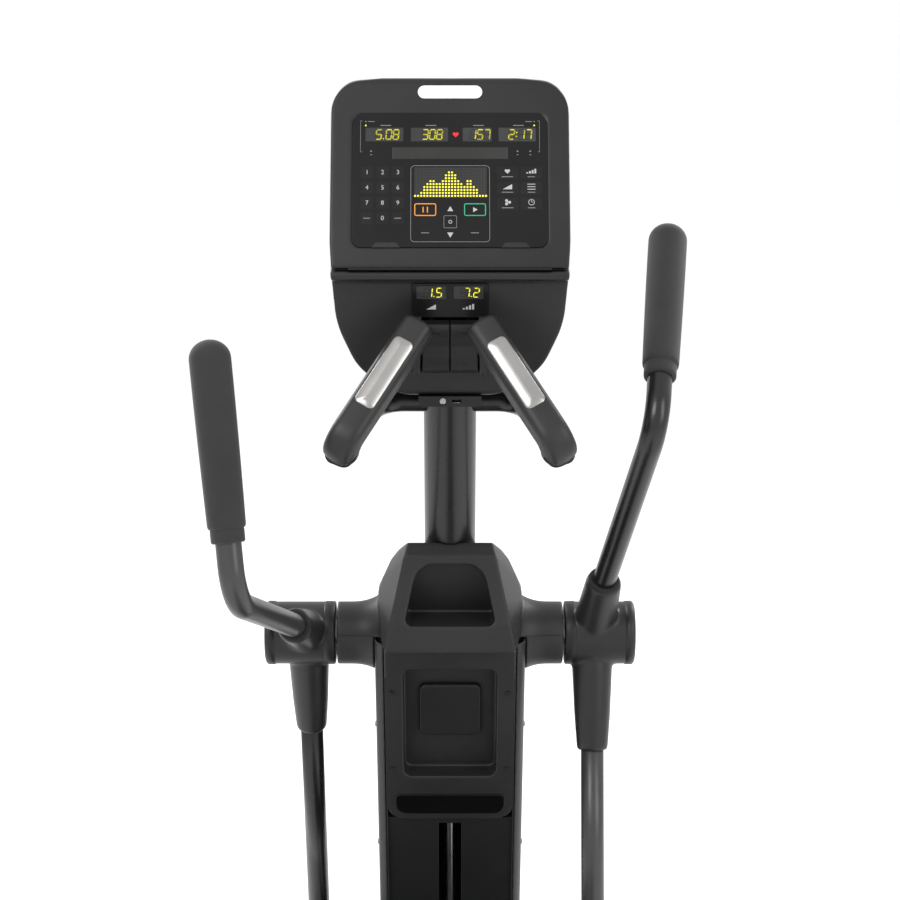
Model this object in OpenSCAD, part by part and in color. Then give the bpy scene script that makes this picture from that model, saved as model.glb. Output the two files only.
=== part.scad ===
// Elliptical trainer with a rear crank drive, swinging handles and a powered ramp.
// +Z is up, the user stands on the -Y side and looks along +Y. Origin: floor, centre of the footprint.
// Left is -X. At rest the left foot is foremost, the right foot rearmost and the ramp fully down.

/* [Overall] */
// Overall length along Y
overall_length = 2030; // [1950:10:2100]
// Height of the swing-arm pivot above the floor
hub_z = 890; // [860:5:920]
// Distance of the swing-arm pivot in front of the centre
hub_y = 600; // [580:5:620]
// Lean of the column and neck towards the user, degrees
lean = 17; // [12:1:20]

/* [Stride] */
// Crank radius
crank_r = 180; // [160:5:190]
// Crank centre behind the middle
crank_y = -740; // [-760:5:-720]
// Crank centre above the floor
crank_z = 300; // [280:5:310]
// Swing of each handle either side of its middle, degrees
swing = 16.2; // [12:0.1:18]
// Foremost place of the roller axle along Y
roller_y = 560; // [540:5:580]
// Height of the roller axle there
roller_z = 234; // [220:1:245]
// Slope of the ramp when it is down, degrees
ramp_slope = 8; // [6:1:10]
// Share of the foot arm, from crank to roller, where the drag link joins it
link_share = 0.82; // [0.8:0.01:0.84]

/* [Tubes] */
// Outside radius of the handle tubes
handle_r = 19.05; // [16:0.05:22]
// Outside radius of the neck tube
mast_r = 41; // [35:1:45]
// Radius of the shaft that the handles swing on
pivot_shaft_r = 22.5; // [18:0.5:25]
// Radial clearance of a running fit
running_gap = 0.05; // [0.02:0.01:0.1]

/* [Column] */
// Width of the column cover
column_w = 248; // [220:2:260]
// Depth of the column cover
column_d = 176; // [160:2:190]
// Wall of the plastic covers
wall = 4; // [3:0.5:6]

/* [Console] */
// Width of the console
console_w = 358; // [340:2:380]
// Lean of the display face back from vertical, degrees
display_lean = 26; // [20:1:32]
// Length of the display face from ledge to top
display_h = 299; // [290:1:302]

/* [Pedals] */
// Distance of each foot arm's middle from the centre plane
foot_x = 176; // [172:1:180]
// Width of a foot arm
beam_w = 42; // [38:2:44]
// Height of a foot arm
beam_h = 50; // [40:2:56]
// Length of a pedal
pedal_l = 360; // [340:5:365]
// Width of a pedal
pedal_w = 150; // [130:5:160]
// Distance from the roller back to the pedal's middle
pedal_back = 400; // [395:1:405]

/* [Hidden] */
$fn = 48;
LEFT = -1;
RIGHT = 1;
EPS = 1;               // how far a cut runs past a face
half_l = overall_length / 2;

// ---- Linkage, in the (y, z) plane; the first entry is y and the second is z ----
crank_c = [crank_y, crank_z];
pin_front = crank_c + [crank_r, 0];
pin_rear = crank_c - [crank_r, 0];
axle_front = [roller_y, roller_z];
foot_arm_len = norm(axle_front - pin_front);
ramp_dir = [cos(ramp_slope), sin(ramp_slope)];
rear_gap = axle_front - pin_rear;
rear_along = rear_gap * ramp_dir;
axle_rear = axle_front + ramp_dir * (-rear_along
    + sqrt(rear_along ^ 2 - rear_gap * rear_gap + foot_arm_len ^ 2));
function pin_of(side) = side == LEFT ? pin_front : pin_rear;
function axle_of(side) = side == LEFT ? axle_front : axle_rear;
function link_pivot_of(side) = pin_of(side) + (axle_of(side) - pin_of(side)) * link_share;
function pitch_of(side) = let (d = axle_of(side) - pin_of(side)) atan2(d.y, d.x);
// Length of the lower handle that gives both drag links the same length
to_front = [hub_y, hub_z] - link_pivot_of(LEFT);
to_rear = [hub_y, hub_z] - link_pivot_of(RIGHT);
lower_arm_len = (to_rear * to_rear - to_front * to_front)
    / (2 * (sin(swing) * (to_front.x + to_rear.x) - cos(swing) * (to_front.y - to_rear.y)));
function swing_of(side) = side == LEFT ? swing : -swing;
function arm_end_of(side) = [hub_y + lower_arm_len * sin(swing_of(side)),
                             hub_z - lower_arm_len * cos(swing)];
ramp_pivot = [-420, 215];

// ---- Places across the machine ----
beam_in = foot_x - beam_w / 2;
beam_out = foot_x + beam_w / 2;
link_in = beam_out + 2;
link_t = 12;
arm_in = link_in + link_t + 1.5;
arm_x = 237;           // middle of the lower handle tubes
cover_half = 108;      // half width of the rear covers
crank_in = 114;
crank_t = 20;
pulley_x = [20, 36];   // drive belt plane
roller_r = 35;
axle_r = 10;
bush_r = 13;
pulley_r = 150;
small_pulley_r = 24;
flywheel_c = [-575, 212];
flywheel_r = 105;
wheel_c = [half_l - 40, 46];
wheel_pin_r = 8;
frame_top = 92;
frame_bottom = 32;
screw_back = 64;       // lead screw behind the mast axis
hub_face = 190.5;      // where the swing-arm hub starts
hub_end = 306;
hub_r = 52;

// ---- Helpers ----
function unit(v) = v / norm(v);
function fillet(a, b, c, r, n) = r <= 0 ? [b] :
    let (u = unit(a - b), v = unit(c - b), half = acos(u * v) / 2,
         centre = b + unit(u + v) * r / sin(half),
         p = b + u * r / tan(half), q = b + v * r / tan(half),
         start = atan2(p.y - centre.y, p.x - centre.x),
         stop = atan2(q.y - centre.y, q.x - centre.x),
         turn = (stop - start + 540) % 360 - 180)
    [for (i = [0:n]) centre + r * [cos(start + turn * i / n), sin(start + turn * i / n)]];
function rounded(points, radii, n = 6) = [
    for (i = [0:len(points) - 1])
        each fillet(points[(i + len(points) - 1) % len(points)], points[i],
                    points[(i + 1) % len(points)], is_list(radii) ? radii[i] : radii, n)];
function box_outline(w, h) = [[-w / 2, -h / 2], [w / 2, -h / 2], [w / 2, h / 2], [-w / 2, h / 2]];

// Outline in (y, z), extruded along x
module x_prism(points, x0, x1)
    translate([x0, 0, 0]) rotate([90, 0, 90]) linear_extrude(x1 - x0) polygon(points);
// Outline in (x, z), extruded along y
module y_prism(points, y0, y1)
    translate([0, y1, 0]) rotate([90, 0, 0]) linear_extrude(y1 - y0) polygon(points);
// Round bar along x through the point (y, z)
module x_rod(r, x0, x1, at)
    translate([x0, at.x, at.y]) rotate([0, 90, 0]) cylinder(r = r, h = x1 - x0);
// Block given by its two corners
module block(low, high) translate(low) cube(high - low);
// Round bar from one point to another
module rod(p, q, r) {
    d = q - p;
    translate(p) rotate([0, acos(d.z / norm(d)), atan2(d.y, d.x)]) cylinder(r = r, h = norm(d));
}
// Turned shape from p towards q; the outline is [radius, distance from p]
module turned(p, q, outline) {
    d = q - p;
    translate(p) rotate([0, acos(d.z / norm(d)), atan2(d.y, d.x)]) rotate_extrude() polygon(outline);
}
// Quarter round for the end of a turned shape
function dome(r, z, up, n = 8) = [for (i = [0:n]) [r * cos(90 * i / n), z + up * r * sin(90 * i / n)]];
function capsule(r, length) = concat(
    [for (p = dome(r, 0, -1)) [p.x < 0.01 ? 0 : p.x, p.y]],
    [for (i = [8:-1:0]) let (p = dome(r, length, 1)[i]) [p.x < 0.01 ? 0 : p.x, p.y]]);
// Swept bar through several points, with ball corners
module bent_rod(path, r) {
    for (i = [0:len(path) - 2]) rod(path[i], path[i + 1], r);
    for (i = [1:1:len(path) - 2]) translate(path[i]) sphere(r = r + 0.1);
}
// The left side is the right side's shape mirrored, at its own place along the stride
module on_side(side) {
    if (side == LEFT) mirror([1, 0, 0]) children();
    else children();
}
module at_hub() translate([0, hub_y, hub_z]) children();
module in_column() at_hub() rotate([lean, 0, 0]) children();
module in_arm(side) at_hub() rotate([swing_of(side), 0, 0]) children();
module on_foot_arm(side) {
    at = axle_of(side);
    translate([0, at.x, at.y]) rotate([pitch_of(side), 0, 0]) children();
}
module in_ramp() translate([0, axle_front.x, axle_front.y]) rotate([ramp_slope, 0, 0]) children();
module on_display() at_hub() translate([0, face_low.x, face_low.y]) rotate([-display_lean, 0, 0]) children();

// ---- Base ----
module base_frame() color([0.13, 0.13, 0.14]) difference() {
    union() {
        block([-35, -985, frame_bottom], [35, 960, frame_top]);
        block([-300, -985, frame_bottom], [300, -925, frame_top - 10]);
        block([-300, 925, frame_bottom], [300, 985, frame_top - 10]);
        block([-82, -800, frame_top], [82, -510, frame_top + 8]);
        block([-55, 800, frame_top], [55, 905, frame_top + 10]);
        for (s = [LEFT, RIGHT]) on_side(s) {
            x_prism([[-800, frame_top], [-680, frame_top], [-700, crank_z + 45], [-780, crank_z + 45]], 62, 82);
            x_prism([[-440, frame_top], [-380, frame_top], ramp_pivot + [18, 22], ramp_pivot + [-18, 22]], 52, 64);
            x_rod(wheel_pin_r, 290, 332, wheel_c);
            x_rod(wheel_pin_r + 5, 326.4, 332, wheel_c);
        }
        block([-64, -440, frame_top], [64, -380, frame_top + 8]);
        for (x = [-74.5, 42])
            x_prism([[-610, frame_top], [-540, frame_top], flywheel_c + [18, 20], flywheel_c + [-18, 20]], x, x + 7);
        x_rod(12, -142, 142, ramp_pivot);
    }
    x_rod(31, -90, 90, crank_c);
    x_rod(axle_r + running_gap, -80, 60, flywheel_c);
}
module levelling_feet() color([0.08, 0.08, 0.08])
    for (x = [-270, 270], y = [-955, 955]) translate([x, y, 0]) {
        cylinder(r = 24, h = 14);
        cylinder(r = 8, h = frame_bottom);
    }
module crank_bearings() color([0.55, 0.56, 0.58])
    for (s = [LEFT, RIGHT]) on_side(s) difference() {
        x_rod(31, 62, 82, crank_c);
        x_rod(15 + running_gap, 60, 84, crank_c);
    }
module resistance_brake() color([0.25, 0.25, 0.27]) {
    difference() {
        block([-75, flywheel_c.x - 35, flywheel_c.y + 87], [-14, flywheel_c.x + 35, flywheel_c.y + 155]);
        x_rod(flywheel_r + 3, -62, -24, flywheel_c);
    }
    block([-82, flywheel_c.x - 20, frame_top + 8], [-75, flywheel_c.x + 20, flywheel_c.y + 155]);
}
module belt_outline(grow) hull() {
    translate(crank_c) circle(r = pulley_r + grow, $fn = 64);
    translate(flywheel_c) circle(r = small_pulley_r + grow, $fn = 32);
}
module drive_belt() color([0.06, 0.06, 0.06])
    translate([pulley_x[0], 0, 0]) rotate([90, 0, 90]) linear_extrude(pulley_x[1] - pulley_x[0])
        difference() { belt_outline(3.3); belt_outline(0.3); }
function rear_outline(inset) = rounded([
    [-half_l + inset, frame_top], [-445 - inset, frame_top],
    [-455 - inset, 330 - inset], [-560 - inset / 2, 545 - inset],
    [-860 + inset / 2, 555 - inset], [-half_l + inset, 380 - inset / 2]],
    [0, 0, 60 - inset, 110 - inset, 130 - inset, 90 - inset], 8);
module rear_cover(side) color([0.15, 0.15, 0.16]) on_side(side) difference() {
    x_prism(rear_outline(0), 0.15, cover_half);
    difference() {
        x_prism(rear_outline(wall), -EPS, cover_half - wall);
        block([-EPS, -half_l, 0], [200, 0, frame_top]);
    }
    block([-EPS, -half_l + wall, frame_top - EPS], [cover_half - wall, -445 - wall, frame_top + 30]);
    x_rod(24, 90, 120, crank_c);
}
module power_inlet() color([0.07, 0.07, 0.07]) difference() {
    block([-60, 985, 40], [-20, 997, 76]);
    block([-54, 990, 46], [-26, 998, 70]);
}

// ---- Column ----
column_outline = rounded(box_outline(column_w, column_d), 26);
head_floor = 12;       // underside of the pivot head above the pivot
column_foot = frame_top + 0.5;
column_top = hub_z + head_floor - 0.5;
module between(low, high) intersection() {
    children();
    block([-500, -1500, low], [500, 1500, high]);
}
module mast() color([0.09, 0.09, 0.1]) difference() {
    between(frame_top + 10, 3000) in_column() difference() {
        translate([0, 0, -900]) cylinder(r = mast_r, h = 900 + 615);
        translate([0, 0, -905]) cylinder(r = mast_r - 3, h = 900 + 630);
    }
    x_rod(pivot_shaft_r, -60, 60, [hub_y, hub_z]);
    x_rod(bar_r, -60, 60, [hub_y, hub_z] + bar_middle);
}
module column_shell() color([0.14, 0.14, 0.15]) difference() {
    between(column_foot, column_top) in_column() difference() {
        translate([0, 0, -900]) linear_extrude(960) polygon(column_outline);
        translate([0, 0, -901]) linear_extrude(962)
            polygon(rounded(box_outline(column_w - 2 * wall, column_d - 2 * wall), 22));
        block([-109, -column_d, -901], [109, -40, 61]);
    }
    x_rod(hub_r + 0.5, -column_w, column_w, [hub_y, hub_z]);
}
recess_w = 155;
recess_top = -12;
recess_bottom = -236;
panel_bottom = -328;
module column_panel() color([0.16, 0.16, 0.17]) between(column_foot, column_top) in_column() difference() {
    union() {
        y_prism(rounded([[-108, panel_bottom], [108, panel_bottom], [108, 60], [-108, 60]], [30, 30, 0, 0]),
                -column_d / 2, -column_d / 2 + wall);
        y_prism(rounded([[-recess_w / 2 - 3, recess_bottom - 3], [recess_w / 2 + 3, recess_bottom - 3],
                 [recess_w / 2 + 3, recess_top + 3], [-recess_w / 2 - 3, recess_top + 3]], 16),
                -column_d / 2 + 1, -column_d / 2 + 33);
    }
    y_prism(rounded([[-recess_w / 2, recess_bottom], [recess_w / 2, recess_bottom],
             [recess_w / 2, recess_top], [-recess_w / 2, recess_top]], 14),
            -column_d / 2 - EPS, -column_d / 2 + 30);
}
slot_w = 39;
module lower_panel() color([0.12, 0.12, 0.13]) between(column_foot, hub_z) in_column() difference() {
    block([-108, -column_d / 2 + 4, -900], [108, -column_d / 2 + 8, panel_bottom - 1]);
    block([-slot_w / 2, -column_d, -775], [slot_w / 2, 0, -341]);
}
module lift_motor() color([0.3, 0.3, 0.32]) in_column()
    block([-30, -column_d / 2 + 9, -800], [30, -mast_r - 1, -756]);
module lead_screw() color([0.7, 0.7, 0.72]) in_column()
    translate([0, -screw_back, -752]) {
        cylinder(r = 8, h = 410);
        cylinder(r = 12, h = 10);
    }
// The lift roller sits just under the ramp's front plate; its place is turned into the column's own axes
lift_roller_r = 12;
lift_from_hub = ramp_line(645, 60) - [hub_y, hub_z + lift_roller_r + 0.5];
lift_back = -(lift_from_hub.x * cos(lean) + lift_from_hub.y * sin(lean));
lift_w = lift_from_hub.y * cos(lean) - lift_from_hub.x * sin(lean);
module lift_carriage() color([0.5, 0.5, 0.52]) in_column() {
    difference() {
        union() {
            block([-30, -screw_back - 15, lift_w - 24], [30, -screw_back + 15, lift_w + 20]);
            block([-16, -lift_back, lift_w - 12], [16, -screw_back - 10, lift_w + 8]);
        }
        translate([0, -screw_back, lift_w - 30]) cylinder(r = 8 + running_gap, h = 60);
    }
    translate([-60, -lift_back, lift_w]) rotate([0, 90, 0]) cylinder(r = lift_roller_r, h = 120);
}

// ---- Pivot head ----
// Right half of the head's cross-sections from the user's side to the front: [y, points (x, z)]
head_sections = [
    [-140, [[105, head_floor], [97, 58]]],
    [-113, [[73, 166]]],
    [-98, [[68, 184]]],
    [-30, [[118, head_floor], [118, 78], [110, 104], [96, 136], [84, 152]]],
    [10, [[118, head_floor], [118, 78], [106, 104], [90, 130], [70, 150]]],
    [87, [[112, head_floor], [112, 60], [80, 88]]]];
module head_outline(inset) scale(1 - inset / 110) hull()
    for (section = head_sections, s = [LEFT, RIGHT], p = section[1])
        translate([s * p.x, section[0], p.y]) cube(1, center = true);
module tray_space(grow) intersection() {
    y_prism(rounded([[-74 - grow, 56 - grow], [74 + grow, 56 - grow], [52 + grow, 154 + grow],
             [-52 - grow, 154 + grow]], [12, 12, 34, 34]), -150, -60 + grow);
    x_prism([[-160, 56 - grow], [-74 + grow, 60 - grow], [-103 + grow, 154 + grow], [-160, 160 + grow]], -80, 80);
}
arm_end = 187;         // where the head's side arms meet the swinging hubs
flare = 19;            // how much an arm's radius grows where it meets the head
flare_start = 108;
flare_end = 164;
module head_solid(inset) {
    head_outline(inset);
    x_rod(hub_r - inset, inset - arm_end, arm_end - inset, [0, 0]);
    for (s = [LEFT, RIGHT]) on_side(s) difference() {
        turned([flare_start, 0, 0], [flare_end, 0, 0], concat([[0, 0]],
            [for (t = [0:0.125:1]) [hub_r - inset + flare * (1 - t) ^ 2.4, t * (flare_end - flare_start)]],
            [[0, flare_end - flare_start]]));
        block([0, -200, -200], [column_w / 2 + 0.4 + inset, 200, head_floor + inset]);
    }
}
module head_shell() difference() {
    head_solid(0);
    difference() {
        head_solid(wall);
        tray_space(3);
    }
    tray_space(0);
    x_rod(pivot_shaft_r + 1, -200, 200, [0, 0]);
    rotate([lean, 0, 0]) translate([0, 0, -200]) cylinder(r = mast_r + 0.5, h = 500);
}
module tee_cover_upper() color([0.19, 0.19, 0.2]) at_hub() difference() {
    head_shell();
    block([-250, 10, -200], [250, 200, 250]);
}
module tee_cover_lower() color([0.17, 0.17, 0.18]) at_hub() difference() {
    head_shell();
    block([-250, -200, -200], [250, 10.2, 250]);
}
module pivot_shaft() color([0.6, 0.6, 0.62]) x_rod(pivot_shaft_r, -292, 292, [hub_y, hub_z]);

// ---- Swinging handles, drawn for the right side in their own middle position ----
socket_mouth = [250, -108, 89];
grip_low = [317.5, -350, 399];
grip_high = [346, -206, 640];
bend_corner = grip_low - unit(grip_high - grip_low) * 86;
shroud_bottom = -196;
grip_round = 17;       // how far below the grip's last point its rounded end starts
socket_len = norm(socket_mouth - [arm_x, 0, 0]);
module arm_hub(side) color([0.15, 0.15, 0.16]) on_side(side) in_arm(side) difference() {
    union() {
        x_rod(hub_r, hub_face, hub_end, [0, 0]);
        turned([arm_x, 0, 0], socket_mouth, [[0, 0], [37, 0], [29, socket_len - 4], [26, socket_len], [0, socket_len]]);
        turned([arm_x, 0, 24], [arm_x, 0, shroud_bottom],
            [[0, 0], [34, 0], [33.5, 84], [30, 160], [26, 216], [23, 220], [0, 220]]);
    }
    x_rod(pivot_shaft_r + running_gap, hub_face - EPS, 294, [0, 0]);
    translate([arm_x, 0, -300]) cylinder(r = handle_r, h = 260);
    rod(socket_mouth + unit(bend_corner - socket_mouth) * -70, bend_corner, handle_r);
}
tube_wall = 3;
module upper_tube(side) color([0.12, 0.12, 0.13]) on_side(side) in_arm(side) {
    inward = unit(bend_corner - socket_mouth);
    upward = unit(grip_high - grip_low);
    difference() {
        bent_rod([socket_mouth - inward * 68, bend_corner, grip_low + upward * 200], handle_r);
        bent_rod([socket_mouth - inward * 69, bend_corner, grip_low + upward * 201], handle_r - tube_wall);
    }
}
module grip(side) color([0.06, 0.06, 0.06]) on_side(side) in_arm(side) {
    length = norm(grip_high - grip_low);
    turned(grip_low, grip_high, concat(
        [[handle_r, 0], [25, 0], [25, 20], [28, 24], [29.5, length * 0.7]],
        [for (p = dome(29.5, length - grip_round, 1)) [p.x < 0.01 ? 0 : p.x, p.y]], [[0, 200], [handle_r, 200]]));
}
module lower_tube(side) color([0.12, 0.12, 0.13]) on_side(side) in_arm(side) {
    difference() {
        translate([arm_x, 0, -lower_arm_len]) cylinder(r = handle_r, h = lower_arm_len - 42);
        translate([arm_x, 0, -lower_arm_len + 30]) cylinder(r = handle_r - tube_wall, h = lower_arm_len);
    }
    x_rod(24, arm_in, arm_x + 22, [0, -lower_arm_len]);
}

// ---- Foot arms ----
link_pin_back = -foot_arm_len * (1 - link_share);
module foot_arm(side) color([0.2, 0.2, 0.21]) on_side(side) on_foot_arm(side) {
    difference() {
        union() {
            block([beam_in, -foot_arm_len, -beam_h / 2], [beam_out, 0, beam_h / 2]);
            x_rod(28, beam_in, beam_out, [0, 0]);
            x_rod(34, beam_in, beam_out, [-foot_arm_len, 0]);
        }
        block([beam_in + 4, -foot_arm_len + 60, -beam_h / 2 + 4], [beam_out - 4, -80, beam_h / 2 - 4]);
        block([foot_x - 12.5, -46, -60], [foot_x + 12.5, 60, 60]);
        x_rod(bush_r + running_gap, beam_in - EPS, beam_out + EPS, [0, 0]);
    }
    x_rod(9, beam_out - 4, link_in + link_t, [link_pin_back, 0]);
}
module pedal(side) color([0.1, 0.1, 0.11]) on_side(side) on_foot_arm(side)
    translate([foot_x, -pedal_back, beam_h / 2]) difference() {
        linear_extrude(46) polygon(rounded(box_outline(pedal_w, pedal_l), [30, 30, 45, 45]));
        translate([0, 0, 12]) linear_extrude(46)
            polygon(rounded(box_outline(pedal_w - 14, pedal_l - 14), [24, 24, 38, 38]));
        translate([0, -pedal_l / 2, 40]) rotate([14, 0, 0]) translate([-100, -200, 0]) cube([200, 320, 60]);
    }
module axle_bush(side) color([0.7, 0.55, 0.25]) on_side(side) on_foot_arm(side)
    for (x = [[beam_in, foot_x - 12.5], [foot_x + 12.5, beam_out]]) difference() {
        x_rod(bush_r, x[0], x[1], [0, 0]);
        x_rod(axle_r + running_gap, x[0] - EPS, x[1] + EPS, [0, 0]);
    }
module roller_axle(side) color([0.6, 0.6, 0.62]) on_side(side) {
    x_rod(axle_r, beam_in - 6, beam_out, axle_of(side));
    x_rod(14, beam_in - 6, beam_in - 1, axle_of(side));
}
module roller(side) color([0.25, 0.25, 0.25]) on_side(side) difference() {
    x_rod(roller_r, foot_x - 11, foot_x + 11, axle_of(side));
    x_rod(axle_r + running_gap, foot_x - 12, foot_x + 12, axle_of(side));
}
module link_bush(side) color([0.7, 0.55, 0.25]) on_side(side) difference() {
    x_rod(12, link_in, link_in + link_t, link_pivot_of(side));
    x_rod(9 + running_gap, link_in - EPS, link_in + link_t + EPS, link_pivot_of(side));
}
module drag_link(side) color([0.18, 0.18, 0.19]) on_side(side) {
    start = link_pivot_of(side);
    stop = arm_end_of(side);
    reach = norm(stop - start);
    translate([0, start.x, start.y]) rotate([atan2(stop.y - start.y, stop.x - start.x), 0, 0])
        difference() {
            union() {
                x_rod(22, link_in, link_in + link_t, [0, 0]);
                x_rod(22, link_in, link_in + link_t, [reach, 0]);
                block([link_in, 0, -14], [link_in + link_t, reach, 14]);
            }
            x_rod(12 + running_gap, link_in - EPS, link_in + link_t + EPS, [0, 0]);
        }
}

// ---- Ramp ----
function ramp_line(y, drop) = [y, roller_z + (y - roller_y) * tan(ramp_slope) - drop];
ramp_end = 662;
module ramp_frame() color([0.2, 0.2, 0.21]) {
    for (s = [LEFT, RIGHT]) on_side(s) {
        difference() {
            union() {
                x_prism([ramp_pivot + [-14, -10], ramp_line(60, 92), ramp_line(ramp_end, 92), ramp_line(ramp_end, 52),
                         ramp_line(75, 52), ramp_pivot + [8, 18]], 100, 140);
                x_rod(20, 100, 140, ramp_pivot);
            }
            x_prism([ramp_pivot + [40, -16], ramp_line(62, 87), ramp_line(ramp_end - 5, 87),
                     ramp_line(ramp_end - 5, 57), ramp_line(74, 57), ramp_pivot + [40, -6]], 99, 135);
            x_rod(12 + running_gap, 99, 141, ramp_pivot);
        }
        in_ramp() block([120, -450, -52], [beam_out, 100, -45]);
    }
    x_prism([ramp_line(585, 60), ramp_line(ramp_end, 60), ramp_line(ramp_end, 52), ramp_line(585, 52)], -101, 101);
    x_prism([ramp_line(90, 64), ramp_line(130, 64), ramp_line(130, 53), ramp_line(90, 53)], -101, 101);
}
module ramp_tracks() color([0.6, 0.6, 0.62])
    for (s = [LEFT, RIGHT]) on_side(s) in_ramp() {
        block([152, -450, -45], [beam_out, 100, -roller_r - 0.3]);
        block([148, -450, -45], [152, 100, -roller_r + 8]);
    }
module ramp_cover() color([0.15, 0.15, 0.16]) in_ramp()
    translate([0, -175, -44.7]) linear_extrude(8)
        polygon(rounded(box_outline(288, 545), [20, 20, 40, 40]));

// ---- Crank ----
module crank_axle() color([0.55, 0.55, 0.57]) difference() {
    union() {
        x_rod(15, -crank_in - crank_t, crank_in + crank_t, crank_c);
        x_rod(pulley_r, pulley_x[0], pulley_x[1], crank_c);
        x_rod(32, pulley_x[0] - 12, pulley_x[1] + 8, crank_c);
    }
    for (a = [0:60:359]) x_rod(12, 0, 60, crank_c + 90 * [cos(a), sin(a)]);
}
module crank_arms() color([0.3, 0.3, 0.31]) for (s = [LEFT, RIGHT]) on_side(s) {
    pin = pin_of(s);
    difference() {
        union() {
            x_rod(30, crank_in, crank_in + crank_t, crank_c);
            x_rod(24, crank_in, crank_in + crank_t, pin);
            block([crank_in, min(crank_y, pin.x), crank_z - 20], [crank_in + crank_t, max(crank_y, pin.x), crank_z + 20]);
        }
        x_rod(15, crank_in - EPS, crank_in + crank_t + EPS, crank_c);
    }
    x_rod(14, crank_in + crank_t, beam_in - 0.6, pin);
}
module flywheel() color([0.5, 0.5, 0.52]) difference() {
    union() {
        x_rod(flywheel_r, -58, -28, flywheel_c);
        x_rod(small_pulley_r, pulley_x[0], pulley_x[1], flywheel_c);
        x_rod(axle_r, -74, 50, flywheel_c);
    }
    for (a = [30:60:359]) x_rod(20, -60, -26, flywheel_c + 62 * [cos(a), sin(a)]);
}
module transport_wheel(side) color([0.1, 0.1, 0.1]) on_side(side) difference() {
    x_rod(40, 304, 326, wheel_c);
    x_rod(wheel_pin_r + running_gap, 300, 330, wheel_c);
}

// ---- Console, in (y, z) from the pivot ----
face_low = [-258, 655];
face_top = face_low + display_h * [sin(display_lean), cos(display_lean)];
ledge_nose = [-284, 650];
lower_top = [-262, 634];
lower_end = [-213, 450];
seam_top = [-93, 914];
seam_mid = [-208, 650];
seam_low = [-205, 560];
seam_end = [-186, 450];
lower_lean = atan2(lower_end.x - lower_top.x, lower_top.y - lower_end.y);
function console_front(inset) = let (h = console_w / 2 - inset, top = face_top.y - inset, low = lower_end.y + inset)
    rounded([[-70, low], [70, low], [138 - inset, 492], [170 - inset, 566], [h, 690], [h, top - 10],
             [h * 0.55, top - 2], [0, top], [-h * 0.55, top - 2], [-h, top - 10], [-h, 690], [inset - 170, 566],
             [inset - 138, 492]],
            [60, 60, 90, 150, 150, 46, 200, 400, 200, 46, 150, 150, 90], 8);
bezel_side = [face_top, face_low, ledge_nose, ledge_nose + [0, -11], lower_top, lower_end,
              seam_end, seam_low, seam_mid, seam_top];
back_side = [seam_top, seam_mid, seam_low, seam_end, [-82, 450], [-66, 560], [-80, 720], [-82, 904]];
module console_part(side, radii, shift) difference() {
    intersection() {
        x_prism(rounded(side, radii), -200, 200);
        y_prism(console_front(0), -320, 0);
    }
    intersection() {
        translate([0, shift, 0]) x_prism(side, -200, 200);
        y_prism(console_front(wall), -320, 0);
    }
}
module on_lower_face() translate([0, lower_top.x, lower_top.y]) rotate([lower_lean, 0, 0]) children();
rocker_z = -104;       // middle of the paddles down the lower face
rocker_h = 80;
rocker_pin_r = 2;
module plate(w, low, high, r, front, back)
    y_prism([for (p = rounded(box_outline(w, high - low), r)) p + [0, (low + high) / 2]], front, back);
module console_bezel() color([0.2, 0.2, 0.21]) at_hub() difference() {
    union() {
        console_part(bezel_side, [12, 0, 4, 4, 0, 14, 0, 0, 0, 4], wall + 1);
        on_lower_face() for (s = [LEFT, RIGHT]) on_side(s)
            block([43.5, -13, rocker_z - rocker_h / 2 - 6], [57, 2, rocker_z + rocker_h / 2 + 2]);
    }
    translate([0, face_low.x, face_low.y]) rotate([-display_lean, 0, 0]) plate(292, 30, 241, 14, -5, 2);
    on_lower_face() {
        plate(114, -56, -3, 5, -5, 2);
        difference() {
            block([-42.6, -20, rocker_z - rocker_h / 2 - 5], [42.6, 20, rocker_z + rocker_h / 2 + 5]);
            x_rod(rocker_pin_r, -44, 44, [0, rocker_z]);
        }
    }
}
module console_back() color([0.15, 0.15, 0.16]) at_hub() difference() {
    console_part(back_side, [4, 0, 0, 0, 14, 40, 60, 14], -wall - 1);
    rotate([lean, 0, 0]) translate([0, 0, 300]) cylinder(r = mast_r + 0.5, h = 400);
}
module display_window() color([0.03, 0.03, 0.03]) on_display() plate(291.4, 30.3, 240.7, 13.7, -0.6, 2);
module lower_display() color([0.03, 0.03, 0.03]) at_hub() on_lower_face() plate(113.4, -55.7, -3.3, 4.7, -0.6, 2);
module circuit_board() color([0.05, 0.3, 0.15]) on_display() block([-138, 9, 40], [138, 11, 230]);
module jack_panel() color([0.16, 0.16, 0.17]) at_hub() difference() {
    y_prism([for (p = rounded(box_outline(96, 16), [8, 8, 0, 0])) p + [0, 442]], -216, -190);
    translate([-11, -217, 443]) rotate([-90, 0, 0]) cylinder(r = 3.2, h = 18);
    block([3, -217, 440], [17, -200, 445]);
}
module rocker(side) color([0.13, 0.13, 0.14]) at_hub() on_side(side) on_lower_face()
    translate([0, 0, rocker_z]) difference() {
        x_prism(rounded([[4, -40], [4, 40], [-13, 40], [-17, 33], [-11, 17], [-7, 0], [-11, -17], [-17, -33], [-13, -40]],
                [2, 2, 3, 6, 12, 12, 12, 6, 3]), 0.8, 41.6);
        x_rod(rocker_pin_r + running_gap, 0, 43, [0, 0]);
    }

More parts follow.
